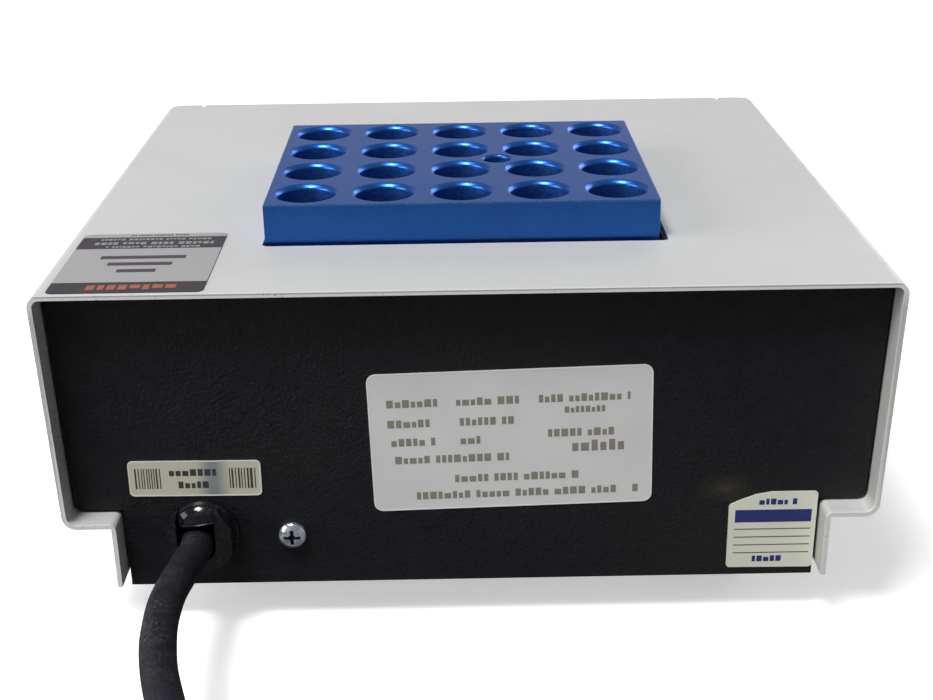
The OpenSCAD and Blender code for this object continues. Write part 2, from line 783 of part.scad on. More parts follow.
module ground_terminal() {
  color([0.8, 0.78, 0.7])
  on_rear() translate([ground_at.x, ground_at.y, -pan_sheet]) difference() {
    union() {
      translate([0, 0, -0.8]) cylinder(r = 4, h = 0.8);
      translate([2, -1.5, -0.8]) cube([5, 3, 0.8]);
      translate([6, 0, -2.6]) rotate([0, 90, 0]) cylinder(r = 1.9, h = 6, $fn = 24);
    }
    translate([0, 0, -2]) cylinder(r = 1.95 + clearance, h = 4, $fn = 24);
    translate([7.5, 0, -2.6]) rotate([0, 90, 0]) cylinder(r = 1.2, h = 6, $fn = 24);
  }
}

module ground_nut() {
  color([0.7, 0.7, 0.72])
  on_rear() translate([ground_at.x, ground_at.y, -pan_sheet - 0.8 - 3.2])
    hex_nut(7, 3.2, 1.95 + clearance);
}

// ---- cord ----

// The slot the cord passes through: round below, open above the cord
module relief_slot(z0, z1) {
  translate([slot_offset.x, slot_offset.y, z0]) {
    cylinder(r = relief_slot_width / 2, h = z1 - z0);
    translate([-relief_slot_width / 2, 0, 0])
      cube([relief_slot_width, relief_radius + 1 - slot_offset.y, z1 - z0]);
  }
}

// The part of the slot above the cord, closed by the wedge
module wedge_outline(height) {
  left = slot_offset.x - relief_slot_width / 2 + 0.1;
  right = slot_offset.x + relief_slot_width / 2 - 0.1;
  linear_extrude(height)
    polygon([[left, wedge_low], [right, wedge_low + wedge_rise], [right, relief_radius],
             [left, relief_radius]]);
}

module strain_relief() {
  color([0.06, 0.06, 0.06])
  on_rear() translate([relief_at.x, relief_at.y, 0]) difference() {
    union() {
      cylinder(r = relief_radius, h = 1.6);
      translate([0, 0, -10]) cylinder(r = relief_shank, h = 10.5);
      intersection() {
        cylinder(r1 = relief_radius, r2 = relief_radius - 0.6, h = relief_height);
        translate([-relief_body_width / 2, -relief_radius, 0])
          cube([relief_body_width, 2 * relief_radius, relief_height]);
      }
    }
    relief_slot(-11, 7);
  }
}

module strain_relief_wedge() {
  color([0.06, 0.06, 0.06])
  on_rear() translate([relief_at.x, relief_at.y, 0]) {
    intersection() {
      scale([1, 1, 0.66]) sphere(r = relief_radius - 0.1);
      wedge_outline(8);
    }
    intersection() {
      translate([0, 0, -8]) cylinder(r = relief_shank - 0.1, h = 8.2);
      translate([0, 0, -8]) wedge_outline(8.2);
    }
  }
}

module power_cord() {
  // the run behind the case, measured from the cover's rear edge
  run = [[65.6, 1.2, 24.4], [66.6, 9.4, 25], [66.4, 34.1, 30.3], [62.6, 59.6, 33.4],
         [54.6, 84.1, 30.5], [47.3, 107.4, 21.9], [39.5, 129.9, 11.2], [26.6, 151.3, 4.6],
         [4.6, 164.7, 6]];
  color([0.07, 0.07, 0.07])
  tube(concat([[cord_x, jacket_end_y, cord_z], [cord_x, panel_y - 1, cord_z]],
       [for (p = run) p + [0, rear_y, 0]], [for (x = [7, 0, -8]) plug_at + [x, 0, 0]]),
       cord_radius, 16, 8);
}

plug_at = [-28, rear_y + 166, 12.4];

module on_plug() {
  translate(plug_at) rotate([90, 0, -90]) children();
}

module plug_shape(width, height, radius, thickness) {
  rounded_plate([width, height], radius, thickness);
}

module plug_body() {
  color([0.07, 0.07, 0.07])
  on_plug() difference() {
    union() {
      cylinder(r = 5.6, h = 12);
      for (z = [1, 4.5, 8]) translate([0, 0, z]) cylinder(r = 6.3, h = 1.8);
      hull() {
        translate([0, 0, 11]) plug_shape(13, 14, 5, 1);
        translate([0, 0, 30]) plug_shape(23, 24, 7, 1);
      }
      translate([0, 0, 31]) plug_shape(24, 24.8, 7.5, 5);
    }
    translate([0, 0, -cut]) cylinder(r = cord_radius + clearance, h = 10 + cut);
  }
}

module plug_blades() {
  color([0.8, 0.72, 0.45])
  on_plug() for (x = [-6.35, 6.35])
    translate([x - 0.75, -8, 36]) cube([1.5, 6.3, 16]);
}

module plug_ground_pin() {
  color([0.8, 0.72, 0.45])
  on_plug() translate([0, 7, 36]) cylinder(r = 2.4, h = 18.5, $fn = 24);
}

// ---- labels ----

module rear_label(at, size, radius, tilt) {
  on_rear() translate([at.x, at.y, 0]) rotate(tilt) rounded_plate(size, radius, 0.15);
}

module rating_plate() {
  color([0.86, 0.86, 0.86]) rear_label([9.6, -40], [66.4, 35.9], 2.2, 1.4);
}

module certification_label() {
  color([0.72, 0.7, 0.64]) rear_label([-65.45, -49], [31.4, 9.4], 1.2, -0.4);
}

module inspection_sticker() {
  left = 62;
  right = pan_x;
  color([0.85, 0.86, 0.88])
  on_rear() linear_extrude(0.15) offset(r = 1, $fn = 24) offset(delta = -1)
    polygon([[left, -58.6], [left + 0.2, -76.1], [right, -76.3], [right, -55.2], [72.2, -55.2],
             [68.4, -55.9], [64.8, -57.3]]);
}

module surface_sticker() {
  color([0.2, 0.17, 0.17])
  translate([76.2, rear_y - 21.6, top_z]) rounded_plate([35, 40.6], 1.6, 0.15);
}

cover();
chassis();
cover_screws();
feet();
foot_screws();
foot_nuts();
tube_block();
heater_plate();
heater_mat();
heater_backing_plate();
heater_screws();
thermal_cutoff();
cutoff_screws();
insulation_pad();
block_well();
insulation_collar();
insulation_tray();
standoffs();
standoff_screws();
front_overlay();
power_switch_body();
range_switch_body();
power_rocker();
range_rocker();
spade_terminals();
pilot_lamp_body();
pilot_lamp_lens();
pilot_lamp_clip();
thermostat_body();
thermostat_nut();
control_shaft();
control_knob();
knob_set_screw();
sensing_bulb();
capillary_tube();
terminal_block();
live_wires();
neutral_wires();
ground_wire();
heater_leads();
ground_screw();
ground_terminal();
ground_nut();
strain_relief();
strain_relief_wedge();
power_cord();
plug_body();
plug_blades();
plug_ground_pin();
rating_plate();
certification_label();
inspection_sticker();
surface_sticker();
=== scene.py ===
"""Looks of a dry block heater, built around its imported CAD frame.

Everything is in metres in the CAD's own frame: the origin is on the bench, +Z is up, the control
face looks towards -Y and the cord leaves the rear panel towards +Y. MM turns millimetres into metres.
"""

import json
import math
import random

import bmesh
import bpy
from mathutils import Matrix, Vector


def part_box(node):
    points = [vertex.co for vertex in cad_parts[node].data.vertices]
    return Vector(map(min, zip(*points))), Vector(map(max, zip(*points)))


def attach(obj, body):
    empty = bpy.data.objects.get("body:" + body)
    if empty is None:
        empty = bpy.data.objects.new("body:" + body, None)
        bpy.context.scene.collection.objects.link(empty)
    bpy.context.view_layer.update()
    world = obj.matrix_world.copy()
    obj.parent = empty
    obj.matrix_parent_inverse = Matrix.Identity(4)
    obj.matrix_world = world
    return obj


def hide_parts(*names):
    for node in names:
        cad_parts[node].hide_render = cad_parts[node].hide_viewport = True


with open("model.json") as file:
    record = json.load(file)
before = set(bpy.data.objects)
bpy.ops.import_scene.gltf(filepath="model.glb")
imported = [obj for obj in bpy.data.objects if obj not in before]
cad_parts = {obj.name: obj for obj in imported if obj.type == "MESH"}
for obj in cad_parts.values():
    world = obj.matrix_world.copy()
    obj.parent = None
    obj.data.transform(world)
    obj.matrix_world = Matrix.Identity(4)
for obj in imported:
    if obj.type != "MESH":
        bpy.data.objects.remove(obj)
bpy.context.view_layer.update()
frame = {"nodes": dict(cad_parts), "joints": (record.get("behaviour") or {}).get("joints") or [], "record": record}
nodes = frame["nodes"]
joints = {joint["name"]: joint for joint in frame["joints"]}

MM = 0.001
X = Vector((1, 0, 0))
Y = Vector((0, 1, 0))
Z = Vector((0, 0, 1))

cover_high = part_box("cover")[1]
panel_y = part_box("chassis")[1].y
top_z = cover_high.z
rear_y = cover_high.y


# ---- planes that printed marks lie on ----


def plane(origin, right, up):
    """Matrix from (right, up, out) to the row frame."""
    out = right.cross(up)
    matrix = Matrix((right, up, out)).transposed().to_4x4()
    matrix.translation = origin
    return matrix


knob_joint = joints["temperature_knob_turn"]
face_out = -Vector(knob_joint["axis"])
face_up = face_out.cross(X)
knob_plane = plane(Vector(knob_joint["pos_m"]), X, face_up)


def label_plane(node):
    """Plane at the middle of a rear panel label's face, turned the way its long sides run."""
    low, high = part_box(node)
    middle = (low + high) / 2
    half = (high.z - low.z) / 2
    mesh = nodes[node].data
    longest = X
    length = 0
    for edge in mesh.edges:
        first, second = (mesh.vertices[index].co for index in edge.vertices)
        along = first - second
        flat = abs(along.y) < 0.01 * MM
        first_up, second_up = first.z - middle.z, second.z - middle.z
        on_long_side = first_up * second_up > 0 and min(abs(first_up), abs(second_up)) > 0.6 * half
        if flat and on_long_side and along.length > length:
            longest = along
            length = along.length
    right = longest.normalized()
    if right.x > 0:
        right = -right
    return plane(Vector((middle.x, high.y, middle.z)), right, Y.cross(right))


# ---- meshes ----


def piece(name, mesh, look, body, matrix=None):
    """A new object of the model that rides on a CAD body."""
    made = bpy.data.objects.new(name, mesh)
    bpy.context.scene.collection.objects.link(made)
    if matrix is not None:
        mesh.transform(matrix)
    mesh.materials.clear()
    mesh.materials.append(look)
    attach(made, body)
    return made


def mesh_of(name, build):
    """A mesh filled by build(bmesh)."""
    shape = bmesh.new()
    build(shape)
    bmesh.ops.recalc_face_normals(shape, faces=shape.faces)
    mesh = bpy.data.meshes.new(name)
    shape.to_mesh(mesh)
    shape.free()
    return mesh


def join_rows(shape, low, high):
    """Faces between two rows of the same number of corners."""
    for j in range(len(low)):
        after = (j + 1) % len(low)
        shape.faces.new((low[j], low[after], high[after], high[j]))


def slab(shape, outline, low, high):
    """Closed slab over an outline of (x, y) points, between two heights."""
    bottom = [shape.verts.new((x, y, low)) for x, y in outline]
    top = [shape.verts.new((x, y, high)) for x, y in outline]
    shape.faces.new(top)
    shape.faces.new(bottom[::-1])
    join_rows(shape, bottom, top)


def rectangle(x, y, width, height):
    """Outline of a rectangle from its centre and size."""
    return [
        (x - width / 2, y - height / 2),
        (x + width / 2, y - height / 2),
        (x + width / 2, y + height / 2),
        (x - width / 2, y + height / 2),
    ]


def rounded_outline(width, height, radius, steps=5):
    """Outline of a rectangle with round corners, centred on the origin."""
    made = []
    for quarter, (side, end) in enumerate(((1, 1), (-1, 1), (-1, -1), (1, -1))):
        for k in range(steps + 1):
            turn = math.pi / 2 * (quarter + k / steps)
            made.append((side * (width / 2 - radius) + radius * math.cos(turn),
                         end * (height / 2 - radius) + radius * math.sin(turn)))
    return made


def surface_normals(angle):
    """Geometry nodes that shade a mesh smooth except across edges sharper than an angle."""
    group = bpy.data.node_groups.new("surface_normals", "GeometryNodeTree")
    group.interface.new_socket("Geometry", in_out="INPUT", socket_type="NodeSocketGeometry")
    group.interface.new_socket("Geometry", in_out="OUTPUT", socket_type="NodeSocketGeometry")
    start = group.nodes.new("NodeGroupInput")
    end = group.nodes.new("NodeGroupOutput")
    edge = group.nodes.new("GeometryNodeInputMeshEdgeAngle")
    sharper = group.nodes.new("FunctionNodeCompare")
    sharper.operation = "GREATER_THAN"
    sharper.inputs[1].default_value = angle
    normals = group.nodes.new("GeometryNodeSetMeshNormal")
    normals.mode = "SHARPNESS"
    normals.inputs["Remove Custom"].default_value = True
    group.links.new(edge.outputs["Unsigned Angle"], sharper.inputs[0])
    group.links.new(start.outputs[0], normals.inputs["Mesh"])
    group.links.new(sharper.outputs[0], normals.inputs["Edge Sharpness"])
    group.links.new(normals.outputs[0], end.inputs[0])
    return group


# Edges that bend more than this are rounded where a node has soft edges
ROUNDED_ABOVE = math.radians(33)
SMOOTH = surface_normals(math.radians(32))


def soften(made, width):
    """Rounds the sharp edges of an object and shades what is left of its facets smooth."""
    join = made.modifiers.new("join", "WELD")
    join.merge_threshold = 0.001 * MM
    flats = made.modifiers.new("flats", "DECIMATE")
    flats.decimate_type = "DISSOLVE"
    flats.angle_limit = math.radians(0.2)
    if width > 0:
        edges = made.modifiers.new("edges", "BEVEL")
        edges.width = width
        edges.segments = 2
        edges.limit_method = "ANGLE"
        edges.angle_limit = ROUNDED_ABOVE
        edges.miter_outer = "MITER_ARC"
        edges.use_clamp_overlap = True
    smooth = made.modifiers.new("smooth", "NODES")
    smooth.node_group = SMOOTH
    weights = made.modifiers.new("weights", "WEIGHTED_NORMAL")
    weights.keep_sharp = True
    weights.weight = 50


# ---- materials ----


class Look:
    """A material under construction: nodes are added and linked by name."""

    def __init__(self, name, **surface):
        self.material = bpy.data.materials.new(name)
        self.material.use_nodes = True
        self.tree = self.material.node_tree
        self.tree.nodes.clear()
        output = self.tree.nodes.new("ShaderNodeOutputMaterial")
        self.shader = self.tree.nodes.new("ShaderNodeBsdfPrincipled")
        self.tree.links.new(self.shader.outputs[0], output.inputs[0])
        self.place = self.tree.nodes.new("ShaderNodeTexCoord").outputs["Object"]
        for socket, value in surface.items():
            self.set(socket.replace("_", " "), value)

    def set(self, socket, value):
        self.feed(self.shader.inputs[socket], value)

    def feed(self, socket, value):
        if isinstance(value, bpy.types.NodeSocket):
            self.tree.links.new(value, socket)
        elif isinstance(value, tuple) and len(value) == 3 and socket.type == "RGBA":
            socket.default_value = (*value, 1)
        else:
            socket.default_value = value

    def stretch(self, *factors):
        """The place with each axis scaled, for streaks."""
        node = self.tree.nodes.new("ShaderNodeMapping")
        node.inputs["Scale"].default_value = factors
        self.tree.links.new(self.place, node.inputs["Vector"])
        return node.outputs[0]

    def noise(self, size, detail=2.0, roughness=0.5, place=None, seed=0.0):
        """Noise between 0 and 1 with features of about a size in metres."""
        node = self.tree.nodes.new("ShaderNodeTexNoise")
        node.noise_dimensions = "4D"
        node.inputs["W"].default_value = seed
        node.inputs["Scale"].default_value = 1 / size
        node.inputs["Detail"].default_value = detail
        node.inputs["Roughness"].default_value = roughness
        self.tree.links.new(place or self.place, node.inputs["Vector"])
        return node.outputs["Fac"]

    def cells(self, size, seed=0.0):
        """Distance to the nearest of scattered points about a size apart, in sizes."""
        node = self.tree.nodes.new("ShaderNodeTexVoronoi")
        node.voronoi_dimensions = "4D"
        node.inputs["W"].default_value = seed
        node.inputs["Scale"].default_value = 1 / size
        self.tree.links.new(self.place, node.inputs["Vector"])
        return node.outputs["Distance"]

    def spread(self, value, low, high, to_low=0.0, to_high=1.0):
        """A value's range from low to high stretched to another range, and held there."""
        node = self.tree.nodes.new("ShaderNodeMapRange")
        for socket, given in zip(node.inputs[:5], (value, low, high, to_low, to_high)):
            self.feed(socket, given)
        return node.outputs[0]

    def combine(self, first, second, operation="ADD"):
        """Result of a sum, or of another operation, on two values."""
        node = self.tree.nodes.new("ShaderNodeMath")
        node.operation = operation
        self.feed(node.inputs[0], first)
        self.feed(node.inputs[1], second)
        return node.outputs[0]

    def times(self, first, second):
        return self.combine(first, second, "MULTIPLY")

    def mix(self, share, first, second):
        """Colour from first at share 0 to second at share 1."""
        node = self.tree.nodes.new("ShaderNodeMix")
        node.data_type = "RGBA"
        self.feed(node.inputs["Factor"], share)
        self.feed(node.inputs[6], first)
        self.feed(node.inputs[7], second)
        return node.outputs[2]

    def axis(self, index):
        """One coordinate of the place."""
        node = self.tree.nodes.new("ShaderNodeSeparateXYZ")
        self.tree.links.new(self.place, node.inputs[0])
        return node.outputs[index]

    def distance(self, index, middle):
        """How far the place is from a coordinate along one axis."""
        return self.combine(self.combine(self.axis(index), middle, "SUBTRACT"), 0, "ABSOLUTE")

    def normal(self, index):
        """One coordinate of the surface's direction."""
        geometry = self.tree.nodes.new("ShaderNodeNewGeometry")
        split = self.tree.nodes.new("ShaderNodeSeparateXYZ")
        self.tree.links.new(geometry.outputs["Normal"], split.inputs[0])
        return split.outputs[index]

    def upright(self):
        """1 on upright faces, 0 on level ones."""
        return self.spread(self.combine(self.normal(2), 0, "ABSOLUTE"), 0.15, 0.35, 1, 0)

    def bump(self, height, depth, strength=1.0, under=None):
        """Bump of a depth in metres, laid over an earlier one if given, and used as the normal."""
        node = self.tree.nodes.new("ShaderNodeBump")
        node.inputs["Distance"].default_value = depth
        node.inputs["Strength"].default_value = strength
        self.tree.links.new(height, node.inputs["Height"])
        if under is not None:
            self.tree.links.new(under, node.inputs["Normal"])
        self.set("Normal", node.outputs[0])
        return node.outputs[0]


def light_paint():
    """Light grey paint with a few specks, dust and painted shade on the inner walls, and a worn rear edge with a
    painted highlight and painted shade.
    """
    look = Look("light_paint", Roughness=0.42, Specular_IOR_Level=0.4)
    blotches = look.spread(look.noise(30 * MM, 3), 0.3, 0.7)
    colour = look.mix(blotches, (0.585, 0.585, 0.578), (0.615, 0.616, 0.612))
    grain = look.spread(look.noise(0.5 * MM, 2), 0.35, 0.65)
    colour = look.mix(grain, look.mix(0.05, colour, (0.3, 0.3, 0.3)), colour)
    specks = look.spread(look.cells(9 * MM), 0.016, 0.022)
    colour = look.mix(specks, (0.2, 0.18, 0.17), colour)
    # coarse dust grains on the inner side of the +X wall; the inner side of the -X wall gets painted shade, a
    # darker grey film with fine grain
    facing = look.times(look.normal(0), look.axis(0))
    inner = look.spread(facing, -0.08, -0.02, 1, 0)
    dust = look.spread(look.noise(0.4 * MM, 3, 0.7), 0.42, 0.58)
    coarse = look.mix(dust, (0.58, 0.53, 0.50), (0.95, 0.91, 0.87))
    # painted shade: this darker grey stands in for the shade on the inner side of the -X wall
    film = look.mix(dust, (0.42, 0.41, 0.395), (0.50, 0.495, 0.48))
    dusty = look.mix(look.spread(look.axis(0), -0.01, 0.01), film, coarse)
    colour = look.mix(inner, colour, dusty)
    # painted highlight: a lighter band on the rolled edge; the bare cut face of the sheet, with a painted
    # highlight on the side walls' cut faces lower down; painted shade: a dark line between the rolled edge and the
    # cut face
    rolled_edge_highlight = look.spread(look.axis(1), rear_y - 0.75 * MM, rear_y - 0.45 * MM)
    colour = look.mix(rolled_edge_highlight, colour, (0.7, 0.7, 0.69))
    cut = look.spread(look.axis(1), rear_y - 0.1 * MM, rear_y - 0.03 * MM)
    below = look.combine(top_z, look.axis(2), "SUBTRACT")
    # painted highlight: the cut faces of the side walls, a few millimetres below the top, are painted much lighter
    side = look.spread(look.distance(0, 0), cover_high.x - 1.6 * MM, cover_high.x - 1.2 * MM)
    side = look.times(side, look.spread(below, 2 * MM, 6 * MM))
    colour = look.mix(cut, colour, look.mix(side, (0.9, 0.9, 0.89), (0.65, 0.645, 0.63)))
    # painted shade: a dark line along the top of the cut face, just under the rolled edge
    line = look.times(look.spread(below, 0.1 * MM, 0.2 * MM), look.spread(below, 0.35 * MM, 0.5 * MM, 1, 0))
    edge = look.spread(look.axis(1), rear_y - 0.16 * MM, rear_y - 0.08 * MM)
    colour = look.mix(look.times(line, edge), colour, (0.48, 0.47, 0.46))
    # grime and chips along that edge
    edge = look.spread(look.axis(1), rear_y - 0.5 * MM, rear_y - 0.1 * MM)
    places = look.spread(look.noise(14 * MM, 1, seed=3.0), 0.5, 0.7)
    chips = look.spread(look.noise(1.1 * MM, 4, 0.7), 0.56, 0.64)
    worn = look.times(look.times(edge, chips), places)
    colour = look.mix(worn, colour, (0.27, 0.25, 0.22))
    look.set("Base Color", colour)
    look.set("Roughness", look.spread(look.noise(6 * MM, 2), 0.3, 0.7, 0.38, 0.48))
    look.bump(look.noise(1.1 * MM, 2), 0.02 * MM, 0.6)
    return look.material


def black_wrinkle():
    """Dull black paint with a fine wrinkle."""
    look = Look("black_wrinkle", Roughness=0.5, Specular_IOR_Level=0.25)
    mottling = look.spread(look.noise(4 * MM, 4, 0.6), 0.35, 0.65)
    colour = look.mix(mottling, (0.0068, 0.0073, 0.0096), (0.0114, 0.0120, 0.0150))
    haze = look.spread(look.noise(60 * MM, 2), 0.45, 0.75)
    colour = look.mix(haze, colour, (0.016, 0.017, 0.017))
    dust = look.spread(look.cells(14 * MM, 3.0), 0.01, 0.016)
    colour = look.mix(dust, (0.12, 0.12, 0.11), colour)
    # a faint smear of old glue beside the upper corner of the inspection sticker
    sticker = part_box("inspection_sticker")
    smear = look.noise(1.5 * MM, 3, 0.6)
    for index, middle, reach in ((0, sticker[1].x + 1 * MM, 7 * MM), (2, sticker[1].z + 1 * MM, 4 * MM)):
        away = look.distance(index, middle)
        smear = look.times(smear, look.spread(away, 0, reach, 1, 0))
    colour = look.mix(smear, colour, (0.09, 0.08, 0.055))
    look.set("Base Color", colour)
    wrinkle = look.bump(look.noise(0.8 * MM, 3, 0.6), 0.5 * MM, 1.0)
    look.bump(look.noise(2.6 * MM, 2), 0.5 * MM, 0.32, under=wrinkle)
    return look.material


def blue_anodised():
    """Blue dyed aluminium with nicks, a painted highlight along the upper edges and drilled wells."""
    look = Look("blue_anodised", Metallic=1.0, Coat_Weight=0.35, Coat_Roughness=0.22, Coat_IOR=1.35)
    look.set("Specular Tint", (0.62, 0.66, 0.85))
    cloud = look.spread(look.noise(25 * MM, 2), 0.3, 0.7)
    colour = look.mix(cloud, (0.011, 0.098, 0.40), (0.014, 0.112, 0.44))
    grain = look.spread(look.noise(0.35 * MM, 2), 0.3, 0.7)
    colour = look.mix(grain, colour, look.mix(0.1, colour, (0.2, 0.35, 0.8)))
    nicks = look.spread(look.cells(16 * MM, 8.0), 0.008, 0.012)
    colour = look.mix(nicks, (0.45, 0.5, 0.6), colour)
    low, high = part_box("tube_block")
    # painted highlight: a lighter line along the upper outer edges, broken up like wear
    rim = look.combine(1, inside(look, low, high, 0.4 * MM), "SUBTRACT")
    upper = look.spread(look.axis(2), high.z - 0.55 * MM, high.z - 0.3 * MM)
    rubbed = look.spread(look.noise(1.2 * MM, 4, 0.7, seed=9.0), 0.35, 0.6, 0.35, 1)
    painted_edge_highlight = look.times(look.times(rim, upper), rubbed)
    colour = look.mix(painted_edge_highlight, colour, (0.1, 0.27, 0.66))
    # the drilled walls of the wells are rougher and marked by the drill
    wall = look.times(look.upright(), inside(look, low, high, 1 * MM))
    turned = look.spread(look.noise(1.2 * MM, 4, 0.6, look.stretch(1, 1, 2.5)), 0.35, 0.65)
    marked = look.mix(turned, (0.014, 0.08, 0.34), (0.05, 0.16, 0.52))
    look.set("Base Color", look.mix(wall, colour, marked))
    smooth = look.spread(look.noise(2 * MM, 3), 0.3, 0.7, 0.28, 0.36)
    look.set("Roughness", look.combine(smooth, look.times(wall, 0.25)))
    look.bump(look.noise(0.25 * MM, 2), 0.01 * MM, 0.35)
    return look.material


def inside(look, low, high, margin):
    """1 further than a margin inside the upright faces of a box, otherwise 0."""
    made = 1.0
    for index in (0, 1):
        middle, half = (low[index] + high[index]) / 2, (high[index] - low[index]) / 2
        away = look.distance(index, middle)
        made = look.times(made, look.spread(away, half - 1.2 * margin, half - 0.8 * margin, 1, 0))
    return made


def metal(name, colour, roughness, tint, grain=0.4 * MM, streaks=None):
    """Bare or plated metal with a second tint in patches and fine grain, in streaks if asked."""
    look = Look(name, Metallic=1.0)
    patches = look.spread(look.noise(2.5 * MM, 3), 0.4, 0.6)
    look.set("Base Color", look.mix(patches, colour, tint))
    place = look.stretch(*streaks) if streaks else None
    fine = look.noise(grain, 3, place=place)
    look.set("Roughness", look.spread(fine, 0.3, 0.7, roughness - 0.06, roughness + 0.08))
    look.bump(fine, 0.015 * MM, 0.5)
    return look.material


def screw_zinc():
    """Bright plating on the earth screw's domed head, with painted shade down in its cross recess."""
    low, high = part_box("ground_screw")
    look = Look("screw_zinc", Metallic=0.78)
    patches = look.spread(look.noise(2.5 * MM, 3), 0.4, 0.6)
    colour = look.mix(patches, (0.80, 0.84, 0.90), (0.42, 0.48, 0.60))
    # painted shade: the cross recess, near the middle of the head and below its face, is painted almost black
    across = look.distance(0, (low.x + high.x) / 2)
    up = look.distance(2, (low.z + high.z) / 2)
    squared = look.combine(look.times(across, across), look.times(up, up))
    near = look.spread(look.combine(squared, 0.5, "POWER"), 2.1 * MM, 2.3 * MM, 1, 0)
    deep = look.spread(look.axis(1), high.y - 0.8 * MM, high.y - 0.5 * MM, 1, 0)
    look.set("Base Color", look.mix(look.times(near, deep), colour, (0.012, 0.016, 0.035)))
    fine = look.noise(0.25 * MM, 3)
    look.set("Roughness", look.spread(fine, 0.3, 0.7, 0.09, 0.23))
    look.bump(fine, 0.015 * MM, 0.5)
    return look.material


def plastic(name, colour, roughness, texture=0.4 * MM, depth=0.02 * MM, worn=None):
    """Moulded plastic, rubber or film with slight colour drift and a fine surface texture."""
    look = Look(name, Specular_IOR_Level=0.45)
    drift = look.spread(look.noise(12 * MM, 3), 0.3, 0.7)
    lighter = tuple(min(1, c * 1.18 + 0.002) for c in colour)
    made = look.mix(drift, colour, lighter)
    if worn:
        rubbed = look.spread(look.noise(5 * MM, 5, 0.7, seed=4.0), 0.56, 0.7)
        made = look.mix(rubbed, made, worn)
    look.set("Base Color", made)
    look.set("Roughness", look.spread(look.noise(3 * MM, 2), 0.3, 0.7, roughness - 0.04, roughness + 0.05))
    look.bump(look.noise(texture, 2), depth, 0.5)
    return look.material


def cord_rubber():
    """Rubber jacket with a fine speckle, dull scuffs and pale flecks where it has been rubbed."""
    look = Look("cord_rubber", Specular_IOR_Level=0.2)
    dusty = look.spread(look.noise(22 * MM, 3, seed=2.0), 0.4, 0.7)
    colour = look.mix(dusty, (0.0078, 0.0072, 0.0112), (0.0105, 0.0102, 0.0145))
    speckle = look.spread(look.noise(0.5 * MM, 3, 0.75), 0.42, 0.64)
    colour = look.mix(look.times(speckle, 0.8), colour, (0.03, 0.026, 0.038))
    scuffs = look.spread(look.noise(3 * MM, 6, 0.75), 0.52, 0.66)
    colour = look.mix(look.times(scuffs, 0.4), colour, (0.06, 0.056, 0.067))
    # the jacket has been rubbed where it bends down to the bench
    bend = look.times(look.spread(look.axis(1), rear_y + 6 * MM, rear_y + 18 * MM),
                      look.spread(look.axis(1), rear_y + 50 * MM, rear_y + 85 * MM, 1, 0))
    rubbed = look.times(bend, look.spread(look.noise(9 * MM, 2, seed=6.0), 0.45, 0.6))
    flecks = look.spread(look.noise(0.8 * MM, 5, 0.8, seed=7.0), 0.52, 0.66)
    flecks = look.times(look.times(rubbed, 0.7), flecks)
    colour = look.mix(flecks, colour, (0.16, 0.15, 0.155))
    look.set("Base Color", colour)
    look.set("Roughness", look.spread(scuffs, 0, 1, 0.48, 0.75))
    ripple = look.bump(look.noise(0.6 * MM, 3), 0.06 * MM, 0.6)
    look.bump(look.noise(6 * MM, 2), 0.5 * MM, 0.25, under=ripple)
    return look.material


def relief_nylon():
    """Glossy black nylon, dark on its faces, with rubbed corners."""
    look = Look("relief_nylon", Specular_IOR_Level=0.36)
    drift = look.spread(look.noise(5 * MM, 3), 0.35, 0.65)
    colour = look.mix(drift, (0.0045, 0.0042, 0.0065), (0.0085, 0.008, 0.0115))
    rubbed = look.spread(look.noise(1.1 * MM, 5, 0.7), 0.54, 0.68)
    look.set("Base Color", look.mix(rubbed, colour, (0.034, 0.031, 0.038)))
    look.set("Roughness", look.spread(look.noise(2.5 * MM, 3), 0.35, 0.65, 0.07, 0.16))
    look.bump(look.noise(1.6 * MM, 2), 0.02 * MM, 0.4)
    return look.material


def printed_film(name, colour, roughness=0.4, shine=0.4):
    """Label film with small dark marks."""
    look = Look(name, Specular_IOR_Level=shine)
    drift = look.spread(look.noise(14 * MM, 3), 0.35, 0.65)
    darker = tuple(c * 0.94 for c in colour)
    marks = look.spread(look.cells(5 * MM, 5.0), 0.02, 0.035)
    made = look.mix(drift, darker, colour)
    look.set("Base Color", look.mix(marks, tuple(c * 0.55 for c in colour), made))
    look.set("Roughness", look.spread(look.noise(2 * MM, 2), 0.3, 0.7, roughness - 0.05, roughness + 0.05))
    look.bump(look.noise(2.5 * MM, 3), 0.03 * MM, 0.35)
    return look.material


def foil():
    """Metallised label film with a painted reflection: the soft vertical bands that a brushed foil mirrors."""
    low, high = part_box("certification_label")
    look = Look("foil", Metallic=0.3, Roughness=0.42)
    # painted reflection: a soft bluish-grey band across the label, where the brushed foil would mirror something
    # dark
    across = look.spread(look.axis(0), low.x, high.x)
    band = look.spread(look.combine(look.combine(across, 0.36, "SUBTRACT"), 0, "ABSOLUTE"), 0.02, 0.13)
    colour = look.mix(band, (0.35, 0.385, 0.40), (0.84, 0.815, 0.67))
    fine = look.noise(0.5 * MM, 3, place=look.stretch(1, 1, 12))
    colour = look.mix(look.spread(fine, 0.3, 0.7), colour, look.mix(0.1, colour, (0.8, 0.8, 0.75)))
    look.set("Base Color", colour)
    look.bump(fine, 0.01 * MM, 0.4)
    return look.material


def ink(name, colour, gaps=0.0):
    """Printed ink, thin and broken in places where gaps is above 0."""
    look = Look(name, Roughness=0.5, Specular_IOR_Level=0.3)
    wear = look.spread(look.noise(0.35 * MM, 3, 0.6), 0.4, 0.62)
    lighter = tuple(c + gaps * (0.42 - c) for c in colour)
    look.set("Base Color", look.mix(wear, colour, lighter))
    look.bump(wear, 0.005 * MM, 0.3)
    return look.material


